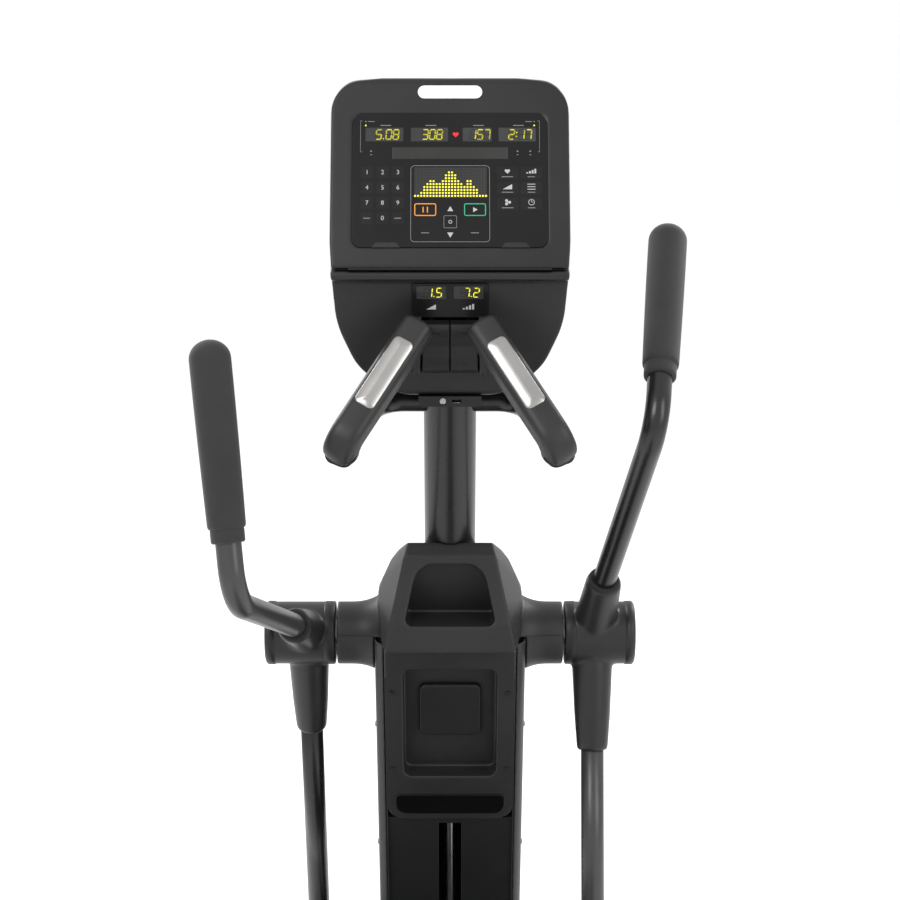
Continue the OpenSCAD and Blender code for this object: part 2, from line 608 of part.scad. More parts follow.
// ---- Fixed handlebar, right half; the left is its mirror ----
bar_r = 16;
bar_middle = [-136, 425];
bar_path = [[104, bar_middle.x, bar_middle.y], [150, -235, 404], [156, -380, 398]];
hr_elbow = [162, -392, 410];
hr_top = [54, -292, 560];
hr_r = 24.5;
module handlebar() color([0.09, 0.09, 0.1]) at_hub()
    bent_rod([for (i = [2:-1:0]) [-bar_path[i].x, bar_path[i].y, bar_path[i].z], each bar_path], bar_r);
module contact() {
    along = hr_elbow - hr_top;
    start = hr_top + along * 0.1;
    stop = hr_top + along * 0.66;
    lift = [0, -13, 9];
    intersection() {
        difference() {
            rod(start, stop, hr_r + 0.8);
            rod(hr_top, hr_elbow, hr_r);
        }
        rod(start + lift, stop + lift, hr_r - 5);
    }
}
module hr_contacts() color([0.75, 0.76, 0.78]) at_hub() for (s = [LEFT, RIGHT]) on_side(s) contact();
module hr_grip(side) color([0.12, 0.12, 0.13]) at_hub() on_side(side) difference() {
    union() {
        turned(hr_top, hr_elbow, capsule(hr_r, norm(hr_elbow - hr_top)));
        rod([154, -335, 400], hr_elbow, 21);
    }
    rod(bar_path[1], bar_path[2], bar_r);
}

// ---- Parts ----
base_frame();
levelling_feet();
crank_bearings();
resistance_brake();
drive_belt();
rear_cover(LEFT);  // rear_cover_left
rear_cover(RIGHT);  // rear_cover_right
mast();
column_shell();
column_panel();
lower_panel();
tee_cover_upper();
tee_cover_lower();
pivot_shaft();
power_inlet();
lift_motor();
console_back();
console_bezel();
display_window();
lower_display();
circuit_board();
jack_panel();
handlebar();
hr_grip(LEFT);  // hr_grip_left
hr_grip(RIGHT);  // hr_grip_right
hr_contacts();
ramp_frame();
ramp_tracks();
ramp_cover();
lift_carriage();
lead_screw();
crank_axle();
crank_arms();
flywheel();
rocker(LEFT);  // rocker_left
rocker(RIGHT);  // rocker_right
transport_wheel(LEFT);  // transport_wheel_left
transport_wheel(RIGHT);  // transport_wheel_right
roller(LEFT);  // roller_left
roller(RIGHT);  // roller_right
roller_axle(LEFT);  // roller_axle_left
roller_axle(RIGHT);  // roller_axle_right
axle_bush(LEFT);  // axle_bush_left
axle_bush(RIGHT);  // axle_bush_right
foot_arm(LEFT);  // foot_arm_left
foot_arm(RIGHT);  // foot_arm_right
pedal(LEFT);  // pedal_left
pedal(RIGHT);  // pedal_right
link_bush(LEFT);  // link_bush_left
link_bush(RIGHT);  // link_bush_right
drag_link(LEFT);  // drag_link_left
drag_link(RIGHT);  // drag_link_right
arm_hub(LEFT);  // arm_hub_left
arm_hub(RIGHT);  // arm_hub_right
upper_tube(LEFT);  // upper_tube_left
upper_tube(RIGHT);  // upper_tube_right
grip(LEFT);  // grip_left
grip(RIGHT);  // grip_right
lower_tube(LEFT);  // lower_tube_left
lower_tube(RIGHT);  // lower_tube_right
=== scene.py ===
"""Looks of the elliptical trainer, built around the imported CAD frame."""
import math

import bmesh
import bpy
from mathutils import Matrix, Vector


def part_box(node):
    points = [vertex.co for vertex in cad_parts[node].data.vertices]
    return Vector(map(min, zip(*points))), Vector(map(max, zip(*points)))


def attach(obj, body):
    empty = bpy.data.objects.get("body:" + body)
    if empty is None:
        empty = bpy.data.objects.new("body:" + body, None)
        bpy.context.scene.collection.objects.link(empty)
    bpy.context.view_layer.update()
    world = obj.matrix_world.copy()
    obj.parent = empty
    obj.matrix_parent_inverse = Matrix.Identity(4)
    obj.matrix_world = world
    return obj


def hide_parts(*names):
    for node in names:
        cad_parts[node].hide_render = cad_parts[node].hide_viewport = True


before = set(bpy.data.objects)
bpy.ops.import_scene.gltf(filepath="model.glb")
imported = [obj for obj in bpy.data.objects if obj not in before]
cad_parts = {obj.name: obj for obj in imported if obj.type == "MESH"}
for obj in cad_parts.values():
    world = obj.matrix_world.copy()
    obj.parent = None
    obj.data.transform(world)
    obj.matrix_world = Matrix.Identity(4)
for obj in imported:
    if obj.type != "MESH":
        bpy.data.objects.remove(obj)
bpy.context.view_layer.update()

SIDES = (("left", -1), ("right", 1))
FRONT_TILT = math.radians(26)          # lean of the display face
LEAN = math.radians(17)                # lean of the column and neck
TAU = 2 * math.pi
WELD = 2e-5                            # points nearer than this are made one
POINT_R = 1e-5                         # radius of a turned piece's closed end


def about_x(angle):
    return Matrix.Rotation(angle, 4, "X")


# The handles' pivot is the middle of its shaft
shaft_low, shaft_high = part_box("pivot_shaft")
PIVOT = (shaft_low + shaft_high) / 2


# ---------------------------------------------------------------- materials
def new_material(name):
    mat = bpy.data.materials.new(name)
    mat.use_nodes = True
    nodes = mat.node_tree.nodes
    links = mat.node_tree.links
    return mat, nodes, links, nodes["Principled BSDF"]


def coords(nodes, links, scale=(1, 1, 1)):
    """Object-space coordinates, stretched by scale."""
    where = nodes.new("ShaderNodeTexCoord")
    mapping = nodes.new("ShaderNodeMapping")
    mapping.inputs["Scale"].default_value = scale
    links.new(where.outputs["Object"], mapping.inputs["Vector"])
    return mapping.outputs["Vector"]


def noise(nodes, links, vector, scale, detail=3.0, rough=0.5):
    tex = nodes.new("ShaderNodeTexNoise")
    tex.inputs["Scale"].default_value = scale
    tex.inputs["Detail"].default_value = detail
    tex.inputs["Roughness"].default_value = rough
    links.new(vector, tex.inputs["Vector"])
    return tex.outputs["Fac"]


def ramp(nodes, links, fac, stops):
    node = nodes.new("ShaderNodeValToRGB")
    elements = node.color_ramp.elements
    while len(elements) < len(stops):
        elements.new(0.5)
    for element, (place, colour) in zip(elements, stops):
        element.position = place
        element.color = (*colour, 1) if len(colour) == 3 else colour
    links.new(fac, node.inputs["Fac"])
    return node.outputs["Color"]


def remap(nodes, links, fac, low, high):
    node = nodes.new("ShaderNodeMapRange")
    node.inputs["To Min"].default_value = low
    node.inputs["To Max"].default_value = high
    links.new(fac, node.inputs["Value"])
    return node.outputs["Result"]


def bump(nodes, links, shader, height, strength, distance):
    node = nodes.new("ShaderNodeBump")
    node.inputs["Strength"].default_value = strength
    node.inputs["Distance"].default_value = distance
    links.new(height, node.inputs["Height"])
    links.new(node.outputs["Normal"], shader.inputs["Normal"])


def grained(name, dark, light, rough=(0.4, 0.55), grain=900, depth=0.25, mottling=9, metallic=0.0,
            coat=0.0, stretch=(1, 1, 1), grain_size=0.0003, specular=0.5):
    """Base material: slow colour mottling, a fine surface grain and roughness that varies with it."""
    mat, nodes, links, shader = new_material(name)
    plain = coords(nodes, links)
    fine = coords(nodes, links, stretch)
    slow = noise(nodes, links, plain, mottling, 4, 0.6)
    quick = noise(nodes, links, fine, grain, 2, 0.6)
    links.new(ramp(nodes, links, slow, [(0.3, dark), (0.7, light)]), shader.inputs["Base Color"])
    links.new(remap(nodes, links, slow, *rough), shader.inputs["Roughness"])
    bump(nodes, links, shader, quick, depth, grain_size)
    shader.inputs["Metallic"].default_value = metallic
    shader.inputs["Coat Weight"].default_value = coat
    shader.inputs["Coat Roughness"].default_value = 0.12
    shader.inputs["Specular IOR Level"].default_value = specular
    return mat


def foam():
    """Closed-cell foam rubber: small pits and a dusty sheen."""
    mat, nodes, links, shader = new_material("foam_rubber")
    where = coords(nodes, links)
    cells = nodes.new("ShaderNodeTexVoronoi")
    cells.inputs["Scale"].default_value = 620
    links.new(where, cells.inputs["Vector"])
    slow = noise(nodes, links, where, 14, 4, 0.6)
    links.new(ramp(nodes, links, slow, [(0.3, (0.010, 0.010, 0.011)), (0.7, (0.018, 0.018, 0.019))]),
              shader.inputs["Base Color"])
    links.new(remap(nodes, links, slow, 0.78, 0.9), shader.inputs["Roughness"])
    bump(nodes, links, shader, cells.outputs["Distance"], 0.55, 0.0005)
    shader.inputs["Sheen Weight"].default_value = 0.15
    shader.inputs["Sheen Roughness"].default_value = 0.5
    return mat


def glowing(name, colour, strength, grain=400, darkest=0.82):
    """Printed or lit marking, or the floor, with a little unevenness in its brightness."""
    mat, nodes, links, shader = new_material(name)
    slow = noise(nodes, links, coords(nodes, links), grain, 2, 0.5)
    dim = tuple(darkest * c for c in colour)
    tint = ramp(nodes, links, slow, [(0.3, dim), (0.7, colour)])
    links.new(tint, shader.inputs["Base Color"])
    links.new(tint, shader.inputs["Emission Color"])
    shader.inputs["Emission Strength"].default_value = strength
    shader.inputs["Roughness"].default_value = 0.35
    return mat


PLASTIC = grained("charcoal_plastic", (0.0125, 0.0125, 0.013), (0.0175, 0.0175, 0.018), (0.40, 0.50), 1100, 0.35,
                  specular=0.36)
PLASTIC_DARK = grained("black_plastic", (0.0075, 0.0075, 0.008), (0.011, 0.011, 0.0115), (0.38, 0.48), 1100, 0.35,
                       specular=0.32)
BEZEL = grained("bezel_plastic", (0.0105, 0.0105, 0.011), (0.0145, 0.0145, 0.015), (0.36, 0.46), 1200, 0.3,
                specular=0.34)
TUBE = grained("black_powder_coat", (0.006, 0.006, 0.0065), (0.010, 0.010, 0.0105), (0.24, 0.32), 260, 0.12,
               specular=0.45)
# The black powder coat again in a lighter grey, as a painted highlight; only the left upper tube and the right lower
# tube use it
TUBE_PAINTED_HIGHLIGHT = grained("powder_coat_painted_highlight", (0.045, 0.045, 0.046), (0.062, 0.062, 0.063), (0.30, 0.40), 260, 0.14,
                    metallic=0.45, specular=0.45)
FRAME = grained("frame_powder_coat", (0.014, 0.014, 0.015), (0.021, 0.021, 0.022), (0.36, 0.46), 420, 0.2,
                specular=0.4)
CAST = grained("painted_casting", (0.0115, 0.0115, 0.012), (0.0165, 0.0165, 0.017), (0.34, 0.44), 700, 0.25,
               specular=0.36)
FOAM = foam()
GLOSS = grained("satin_overlay", (0.0060, 0.0060, 0.0064), (0.0085, 0.0085, 0.0090), (0.22, 0.30), 400, 0.04,
                specular=0.22)
PIANO = grained("gloss_black_badge", (0.0025, 0.0025, 0.003), (0.004, 0.004, 0.0045), (0.06, 0.10), 90, 0.02,
                specular=0.35)
# Display windows: their own dark smoke tint, made lighter than the tint alone as a painted reflection
TINT_AND_PAINTED_REFLECTION = grained("window_tint_and_painted_reflection", (0.030, 0.030, 0.031), (0.042, 0.042, 0.043), (0.12, 0.18), 120, 0.02, specular=0.3)
KEY_FACE = grained("key_face", (0.0085, 0.0085, 0.0090), (0.0115, 0.0115, 0.0120), (0.24, 0.32), 300, 0.04,
                   specular=0.22)
TURNED = grained("turned_steel", (0.30, 0.30, 0.31), (0.44, 0.44, 0.45), (0.22, 0.34), 200, 0.12, metallic=1.0,
                 stretch=(40, 1, 1))
PLATE = grained("stainless_plate", (0.33, 0.32, 0.31), (0.42, 0.41, 0.40), (0.30, 0.38), 220, 0.06, metallic=1.0,
                stretch=(6, 6, 60))
TRACK = grained("anodised_track", (0.26, 0.26, 0.27), (0.36, 0.36, 0.37), (0.30, 0.42), 150, 0.15, metallic=0.9,
                stretch=(30, 1, 30))
BRONZE = grained("sintered_bronze", (0.32, 0.20, 0.07), (0.46, 0.30, 0.12), (0.34, 0.46), 800, 0.3, metallic=0.9)
RUBBER = grained("black_rubber", (0.008, 0.008, 0.008), (0.014, 0.014, 0.014), (0.65, 0.8), 700, 0.5, specular=0.3)
NYLON = grained("grey_nylon", (0.035, 0.035, 0.036), (0.05, 0.05, 0.051), (0.42, 0.55), 500, 0.2)
MOTOR = grained("motor_paint", (0.035, 0.036, 0.040), (0.05, 0.051, 0.055), (0.4, 0.5), 380, 0.2)
BOARD = grained("circuit_green", (0.01, 0.07, 0.03), (0.015, 0.10, 0.045), (0.3, 0.45), 300, 0.2)
LED = glowing("led_yellow", (0.80, 0.75, 0.03), 0.55)
LED_OFF = grained("led_unlit", (0.018, 0.018, 0.013), (0.025, 0.025, 0.018), (0.3, 0.4), 200, 0.05, specular=0.2)
INK = glowing("printed_white", (0.42, 0.42, 0.42), 0.05)
INK_DIM = glowing("printed_grey", (0.20, 0.20, 0.20), 0.02)
INK_ORANGE = glowing("printed_orange", (0.75, 0.27, 0.03), 0.15)
INK_GREEN = glowing("printed_green", (0.02, 0.36, 0.18), 0.15)
INK_RED = glowing("printed_red", (0.75, 0.01, 0.01), 0.25)
BADGE = grained("pale_badge", (0.80, 0.80, 0.80), (0.86, 0.86, 0.86), (0.25, 0.35), 300, 0.05)


# ---------------------------------------------------------------- mesh tools
def linked(name, data):
    """A new object in the scene."""
    obj = bpy.data.objects.new(name, data)
    bpy.context.scene.collection.objects.link(obj)
    return obj


def outward(mesh):
    """Turns a mesh's faces to look outwards."""
    bm = bmesh.new()
    bm.from_mesh(mesh)
    bmesh.ops.recalc_face_normals(bm, faces=bm.faces)
    bm.to_mesh(mesh)
    bm.free()


def add_object(name, mesh, material, smooth=True):
    obj = linked(name, mesh)
    mesh.materials.clear()
    mesh.materials.append(material)
    for polygon in mesh.polygons:
        polygon.use_smooth = smooth
    return obj


def build(name, verts, faces, material, smooth=True):
    mesh = bpy.data.meshes.new(name)
    mesh.from_pydata([tuple(v) for v in verts], [], faces)
    mesh.validate()
    outward(mesh)
    return add_object(name, mesh, material, smooth)


def apply_modifiers(obj):
    """Turns an object's modifiers into its mesh."""
    bpy.context.view_layer.update()
    graph = bpy.context.evaluated_depsgraph_get()
    mesh = bpy.data.meshes.new_from_object(obj.evaluated_get(graph))
    obj.modifiers.clear()
    obj.data = mesh
    return obj


def bevel(obj, width, segments=3, angle=30, weld=True):
    """Rounds an object's sharp edges with modifiers, which leave a CAD mesh itself alone."""
    if weld:
        obj.modifiers.new("weld", "WELD").merge_threshold = WELD
    mod = obj.modifiers.new("bevel", "BEVEL")
    mod.width = width
    mod.segments = segments
    mod.limit_method = "ANGLE"
    mod.angle_limit = math.radians(angle)
    mod.use_clamp_overlap = True
    for polygon in obj.data.polygons:
        polygon.use_smooth = True
    smooth = obj.modifiers.new("normals", "WEIGHTED_NORMAL")
    smooth.keep_sharp = False
    return obj


def copy_of(node, name, material):
    """A new object with a CAD node's own mesh."""
    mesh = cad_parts[node].data.copy()
    return add_object(name, mesh, material)


def softened(node, name, material, voxel, rounds, body="base", slot="cover_plastic"):
    """A CAD shape remeshed and relaxed, so that its edges flow as a moulding's do."""
    obj = copy_of(node, name, material)
    obj.modifiers.new("weld", "WELD").merge_threshold = WELD
    remesh = obj.modifiers.new("remesh", "REMESH")
    remesh.mode = "VOXEL"
    remesh.voxel_size = voxel
    remesh.use_smooth_shade = True
    relax = obj.modifiers.new("relax", "SMOOTH")
    relax.factor = 0.5
    relax.iterations = rounds
    apply_modifiers(obj)
    return settle(obj, body, slot, node)


def settle(obj, body, slot, *nodes):
    """Rides a piece on its body and hides the CAD nodes it stands for; slot is not used."""
    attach(obj, body)
    if nodes:
        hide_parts(*nodes)
    return obj


def cover(obj, *nodes):
    """Settles a piece of moulded cover on the base."""
    return settle(obj, "base", "cover_plastic", *nodes)


def fillet(a, b, c, r, n):
    """Points of a round corner at b, between a and c."""
    u, v = (a - b).normalized(), (c - b).normalized()
    half = math.acos(max(-1, min(1, u.dot(v)))) / 2
    if r <= 0 or half > math.pi / 2 - 0.01:
        return [b]
    centre = b + (u + v).normalized() * (r / math.sin(half))
    start = b + u * (r / math.tan(half)) - centre
    stop = b + v * (r / math.tan(half)) - centre
    turn = math.pi - 2 * half
    return [centre + (start * math.sin(turn * (1 - t)) + stop * math.sin(turn * t)) / math.sin(turn)
            for t in (i / n for i in range(n + 1))]


def rounded(points, r, n=6, closed=True):
    pts = [Vector(p) for p in points]
    count = len(pts)
    radii = r if hasattr(r, "__len__") else [r] * count
    out = []
    for i in range(count):
        if not closed and i in (0, count - 1):
            out.append(pts[i])
        else:
            out += fillet(pts[i - 1], pts[i], pts[(i + 1) % count], radii[i], n)
    return out


def rectangle(w, h, at=(0, 0)):
    x, y = at
    return [(x - w / 2, y - h / 2), (x + w / 2, y - h / 2), (x + w / 2, y + h / 2), (x - w / 2, y + h / 2)]


def loft(rings, cap=True):
    """Verts and faces of a skin over equal closed rings."""
    n = len(rings[0])
    verts = [v for ring in rings for v in ring]
    faces = []
    for k in range(len(rings) - 1):
        for i in range(n):
            j = (i + 1) % n
            faces.append((k * n + i, k * n + j, (k + 1) * n + j, (k + 1) * n + i))
    if cap:
        faces.append(tuple(range(n)))
        faces.append(tuple(range((len(rings) - 1) * n, len(rings) * n)))
    return verts, faces


def square_to(ahead, up=None):
    """The part of up square to a direction; without up, one as near upright as it can be."""
    up = up or (Vector((0, 0, 1)) if abs(ahead.z) < 0.9 else Vector((0, 1, 0)))
    return (up - ahead * up.dot(ahead)).normalized()


def path_frames(path, keep_up=None):
    """Point, side and up vectors along a path, without twist, or with up always nearest to keep_up."""
    frames = []
    up = keep_up
    for i, p in enumerate(path):
        ahead = (path[min(i + 1, len(path) - 1)] - path[max(i - 1, 0)]).normalized()
        up = square_to(ahead, keep_up or up)
        frames.append((p, ahead.cross(up), up))
    return frames


def circle(centre, side, up, r, sides):
    return [centre + (side * math.cos(a) + up * math.sin(a)) * r for a in (TAU * k / sides for k in range(sides))]


def tube(name, path, radius, material, sides=32):
    """Round bar along a path; radius is a number or a function of the share of the way along."""
    rings = []
    frames = path_frames(path)
    total = sum((path[i + 1] - path[i]).length for i in range(len(path) - 1))
    gone = 0
    for i, (p, side, up) in enumerate(frames):
        if i:
            gone += (path[i] - path[i - 1]).length
        r = radius(gone / total) if callable(radius) else radius
        rings.append(circle(p, side, up, r, sides))
    return build(name, *loft(rings), material)


def resample(path, step):
    """The same path with points about step apart."""
    out = [path[0]]
    for a, b in zip(path, path[1:]):
        pieces = max(1, round((b - a).length / step))
        out += [a + (b - a) * (i / pieces) for i in range(1, pieces + 1)]
    return out


def prism(name, outline, depth, place, material, edge=0.0, segments=3):
    """A flat outline in local x, z, pushed depth along local +y, moved by place; edge rounds its rim."""
    n = len(outline)
    verts = [place @ Vector((p[0], 0, p[1])) for p in outline]
    verts += [place @ Vector((p[0], depth, p[1])) for p in outline]
    faces = [tuple(range(n)), tuple(range(n, 2 * n))]
    faces += [(i, (i + 1) % n, n + (i + 1) % n, n + i) for i in range(n)]
    obj = build(name, verts, faces, material)
    if edge:
        bevel(obj, edge, segments, 50, weld=False)
        apply_modifiers(obj)
    return obj


def join(name, objects, material=None):
    """Joins pieces into one; every piece keeps its own material unless one is given."""
    bm = bmesh.new()
    materials = []
    for obj in objects:
        mesh = obj.data
        start = len(bm.faces)
        bm.from_mesh(mesh)
        bm.faces.ensure_lookup_table()
        own = material or mesh.materials[0]
        if own not in materials:
            materials.append(own)
        for face in bm.faces[start:]:
            face.material_index = materials.index(own)
    mesh = bpy.data.meshes.new(name)
    bm.to_mesh(mesh)
    bm.free()
    for obj in objects:
        bpy.data.objects.remove(obj)
    joined = linked(name, mesh)
    for own in materials:
        mesh.materials.append(own)
    return joined


# ---------------------------------------------------------------- swinging handles
SWING = math.radians(16.2)             # each handle's turn from its middle, as the CAD stores it
SOCKET = Vector((0.250, -0.108, 0.089))
GRIP_LOW = Vector((0.3175, -0.350, 0.399))
GRIP_HIGH = Vector((0.346, -0.206, 0.640))
BEND = GRIP_LOW - (GRIP_HIGH - GRIP_LOW).normalized() * 0.086
TUBE_R = 0.01905
ARM_X = 0.237
BEND_R = 0.062
GRIP_ROUND = 0.017                     # height of a grip's domed end
LOWER_REACH = 0.65736                  # pivot to the lower eye
HUB_INNER, HUB_CAP = 0.1903, 0.286     # where a hub's ring and its cap start, across the machine


def arm_place(sign):
    """From a handle's own middle position, drawn for the right side, to where it rests."""
    return (Matrix.Translation(PIVOT) @ about_x(-sign * SWING)
            @ Matrix.Diagonal((sign, 1, 1, 1)))


def lathe(name, outline, start, towards, material, sides=64):
    """Turned piece: outline is [(radius, distance along)] from start towards a point."""
    ahead = (towards - start).normalized()
    up = square_to(ahead)
    rings = [circle(start + ahead * z, ahead.cross(up), up, max(r, POINT_R), sides) for r, z in outline]
    return build(name, *loft(rings), material)


def turned_out(name, outline, sign, x, at, material, sides):
    """Turned piece that faces out to one side, from x, on the axis through at."""
    start = Vector((sign * x, at.y, at.z))
    return lathe(name, outline, start, start + Vector((sign, 0, 0)), material, sides)


def dome(r, z, n, flat):
    """Outline of a flattened dome of radius r that starts at z."""
    return [(r * math.cos(math.pi / 2 * i / n), z + flat * r * math.sin(math.pi / 2 * i / n)) for i in range(n + 1)]


def moved(points, place):
    return [place @ Vector(p) for p in points]


def handle(side, sign):
    body = "handle_" + side
    place = arm_place(sign)
    inward = (BEND - SOCKET).normalized()
    upward = (GRIP_HIGH - GRIP_LOW).normalized()
    path = rounded([SOCKET - inward * 0.06, BEND, GRIP_LOW + upward * 0.02],
                   [0, BEND_R, 0], 14, closed=False)
    # The left upper tube takes the lighter copy of the powder coat, a painted highlight
    upper = tube("upper_tube_bent_" + side, moved(resample(path, 0.012), place), TUBE_R,
                 TUBE_PAINTED_HIGHLIGHT if side == "left" else TUBE)
    settle(upper, body, "black_tube", "upper_tube_" + side)

    length = (GRIP_HIGH - GRIP_LOW).length
    outline = [(TUBE_R, 0.0), (0.0225, 0.0), (0.0245, 0.0015), (0.0250, 0.004), (0.0250, 0.018),
               (0.0246, 0.0205), (0.0262, 0.0215), (0.0276, 0.0235), (0.0281, 0.027)]
    outline += [(0.0281 + 0.0024 * math.sin(math.pi / 2 * t), 0.027 + (length - GRIP_ROUND - 0.027) * t)
                for t in (i / 24 for i in range(1, 25))]
    outline += dome(0.0305, length - GRIP_ROUND, n=14, flat=0.92)[1:]
    grip = lathe("foam_grip_" + side, outline, place @ GRIP_LOW, place @ GRIP_HIGH, FOAM, 72)
    settle(grip, body, "foam_grip", "grip_" + side)

    foot = place @ Vector((ARM_X, 0, 0))
    down = (place.to_3x3() @ Vector((0, 0, -1))).normalized()
    # The right lower tube takes the lighter copy of the powder coat, a painted highlight
    lower = tube("lower_tube_painted", [foot + down * 0.06, foot + down * (LOWER_REACH - 0.018)], TUBE_R,
                 TUBE_PAINTED_HIGHLIGHT if side == "right" else TUBE)
    inner, outer = ARM_X - 0.0245, ARM_X + 0.022
    eye_at = foot + down * LOWER_REACH
    eye_in, eye_out = eye_at.copy(), eye_at.copy()
    eye_in.x, eye_out.x = sign * inner, sign * outer
    wide = outer - inner
    eye = lathe("lower_eye", [(0.0, 0.0), (0.021, 0.0), (0.024, 0.002), (0.024, wide - 0.002),
                              (0.022, wide), (0.014, wide), (0.013, wide - 0.002), (0.0, wide - 0.002)],
                eye_in, eye_out, FRAME, 48)
    settle(join("lower_tube_and_eye_" + side, [lower, eye]), body, "black_tube", "lower_tube_" + side)

    softened("arm_hub_" + side, "arm_hub_casting_" + side, CAST, 0.0022, 34, body, slot="cast_metal")
    ring = turned_out("hub_ring_" + side,
                      [(0.030, 0.0), (0.0508, 0.0), (0.0526, 0.0018), (0.0530, 0.016), (0.0518, 0.0182),
                       (0.0500, 0.0186), (0.0495, 0.030)], sign, HUB_INNER, PIVOT, PLASTIC_DARK, 96)
    settle(ring, body, "cast_metal")
    cap = turned_out("hub_cap_" + side,
                     [(0.049, 0.0), (0.0505, 0.0), (0.0505, 0.0042), (0.0530, 0.0048), (0.0532, 0.015),
                      (0.0515, 0.0182), (0.0480, 0.0202), (0.0300, 0.0216), (0.0295, 0.0208), (0.0285, 0.0208),
                      (0.0280, 0.0218), (0.0, 0.0222)], sign, HUB_CAP, PIVOT, PLASTIC, 96)
    settle(cap, body, "cast_metal")
    collar = lathe("socket_collar_" + side,
                   [(TUBE_R + 0.0003, -0.010), (0.0245, -0.010), (0.0262, -0.006), (0.0262, 0.0), (0.0250, 0.0030),
                    (0.0215, 0.0036), (TUBE_R + 0.0003, 0.0030)],
                   place @ SOCKET, place @ BEND, RUBBER, 64)
    settle(collar, body, "rubber")


for side, sign in SIDES:
    handle(side, sign)


# ---------------------------------------------------------------- small shared pieces
def screws(name, places, r, body="base", material=TURNED):
    """Socket screws: each place is (point under the head, direction the head faces)."""
    head = [(0.0, 0.0), (r, 0.0), (r, r * 0.45), (r * 0.86, r * 0.62), (r * 0.52, r * 0.66),
            (r * 0.46, r * 0.60), (r * 0.44, r * 0.25), (0.0, r * 0.25)]
    made = [lathe("screw", head, p, p + Vector(d), material, 24) for p, d in places]
    return settle(join(name, made), body, "machined_steel")


def bar(name, place, x, y, z, material, edge=0.0, segments=3):
    """Block between (low, high) pairs in a place's own axes."""
    outline = rectangle(x[1] - x[0], z[1] - z[0], ((x[0] + x[1]) / 2, (z[0] + z[1]) / 2))
    return prism(name, outline, y[1] - y[0], place @ Matrix.Translation((0, y[0], 0)), material, edge, segments)


def shift(place, y):
    """A place moved along its own y."""
    return place @ Matrix.Translation((0, y, 0))


# ---------------------------------------------------------------- pivot head, column and neck
UPRIGHT = Matrix.Translation(PIVOT)
COLUMN = UPRIGHT @ about_x(LEAN)
COLUMN_FACE = -0.088                   # the user's side of the column, in its own y
RECESS_BACK = COLUMN_FACE + 0.030


def arm_seams():
    """Parting line along each side arm, level with the top of the column."""
    for side, sign in SIDES:
        path = []
        for k in range(13):
            x = 0.1245 + (0.1865 - 0.1245) * k / 12
            r = 0.052 + 0.019 * max(0, (0.164 - x) / 0.056) ** 2.4
            path.append(PIVOT + Vector((sign * x, -math.sqrt(r ** 2 - 0.0118 ** 2) - 0.0002, 0.0118)))
        seam = tube("head_arm_seam_" + side, path, 0.0006, PLASTIC_DARK, 8)
        cover(seam)


def head_and_column():
    arm_seams()
    softened("tee_cover_upper", "pivot_head_cover", PLASTIC, 0.0020, 9)
    softened("tee_cover_lower", "pivot_head_back", PLASTIC, 0.0022, 9)
    softened("column_panel", "column_recess_panel", PLASTIC, 0.0018, 4)
    softened("column_shell", "column_side_cover", PLASTIC, 0.0026, 4)
    pad = prism("recess_pad", rounded(rectangle(0.104, 0.105, (0, -0.112)), 0.012, 8), 0.010,
                shift(COLUMN, RECESS_BACK - 0.009), PLASTIC_DARK, 0.004, 4)
    cover(pad)
    badge = prism("blank_badge", rounded(rectangle(0.186, 0.041, (0, -0.2945)), [0.02, 0.02, 0.008, 0.008], 8),
                  0.004, shift(COLUMN, COLUMN_FACE - 0.0022), PIANO, 0.0012, 3)
    settle(badge, "base", "gloss_window")
    mat_y = UPRIGHT @ Matrix.Translation((0, 0, 0.0565))
    liner = prism("tray_mat", rounded([(-0.064, -0.132), (0.064, -0.132), (0.064, -0.086), (-0.064, -0.086)],
                                      [0.006, 0.006, 0.02, 0.02], 8), 0.0016,
                  mat_y @ about_x(math.radians(90)), RUBBER, 0.0005, 2)
    settle(liner, "base", "rubber")
    out = COLUMN.to_3x3() @ Vector((0, -1, 0))
    screws("column_screws", [(COLUMN @ Vector((x, COLUMN_FACE - 0.0002, z)), out)
                             for x in (-0.096, 0.096) for z in (-0.06, -0.22)], 0.0042, material=PLASTIC_DARK)
    side_screws = [(COLUMN @ Vector((sign * 0.1238, y, z)), Vector((sign, 0, 0)))
                   for sign in (-1, 1) for y in (-0.04, 0.05) for z in (-0.16, -0.42, -0.66)]
    screws("column_side_screws", side_screws, 0.0048)
    for side, sign in SIDES:
        seam = bar("column_seam_" + side, COLUMN, (sign * 0.1072 - 0.0009, sign * 0.1072 + 0.0009),
                   (COLUMN_FACE - 0.0006, COLUMN_FACE + 0.002), (-0.70, -0.03), PLASTIC_DARK)
        cover(seam)


head_and_column()


# ---------------------------------------------------------------- console
DISPLAY = UPRIGHT @ Matrix.Translation((0, -0.258, 0.655)) @ about_x(-FRONT_TILT)
LOWER_LEAN = math.atan2(0.049, 0.184)
LOWER = UPRIGHT @ Matrix.Translation((0, -0.262, 0.634)) @ about_x(LOWER_LEAN)
GLASS = -0.0014                        # front of a window in its face's own y


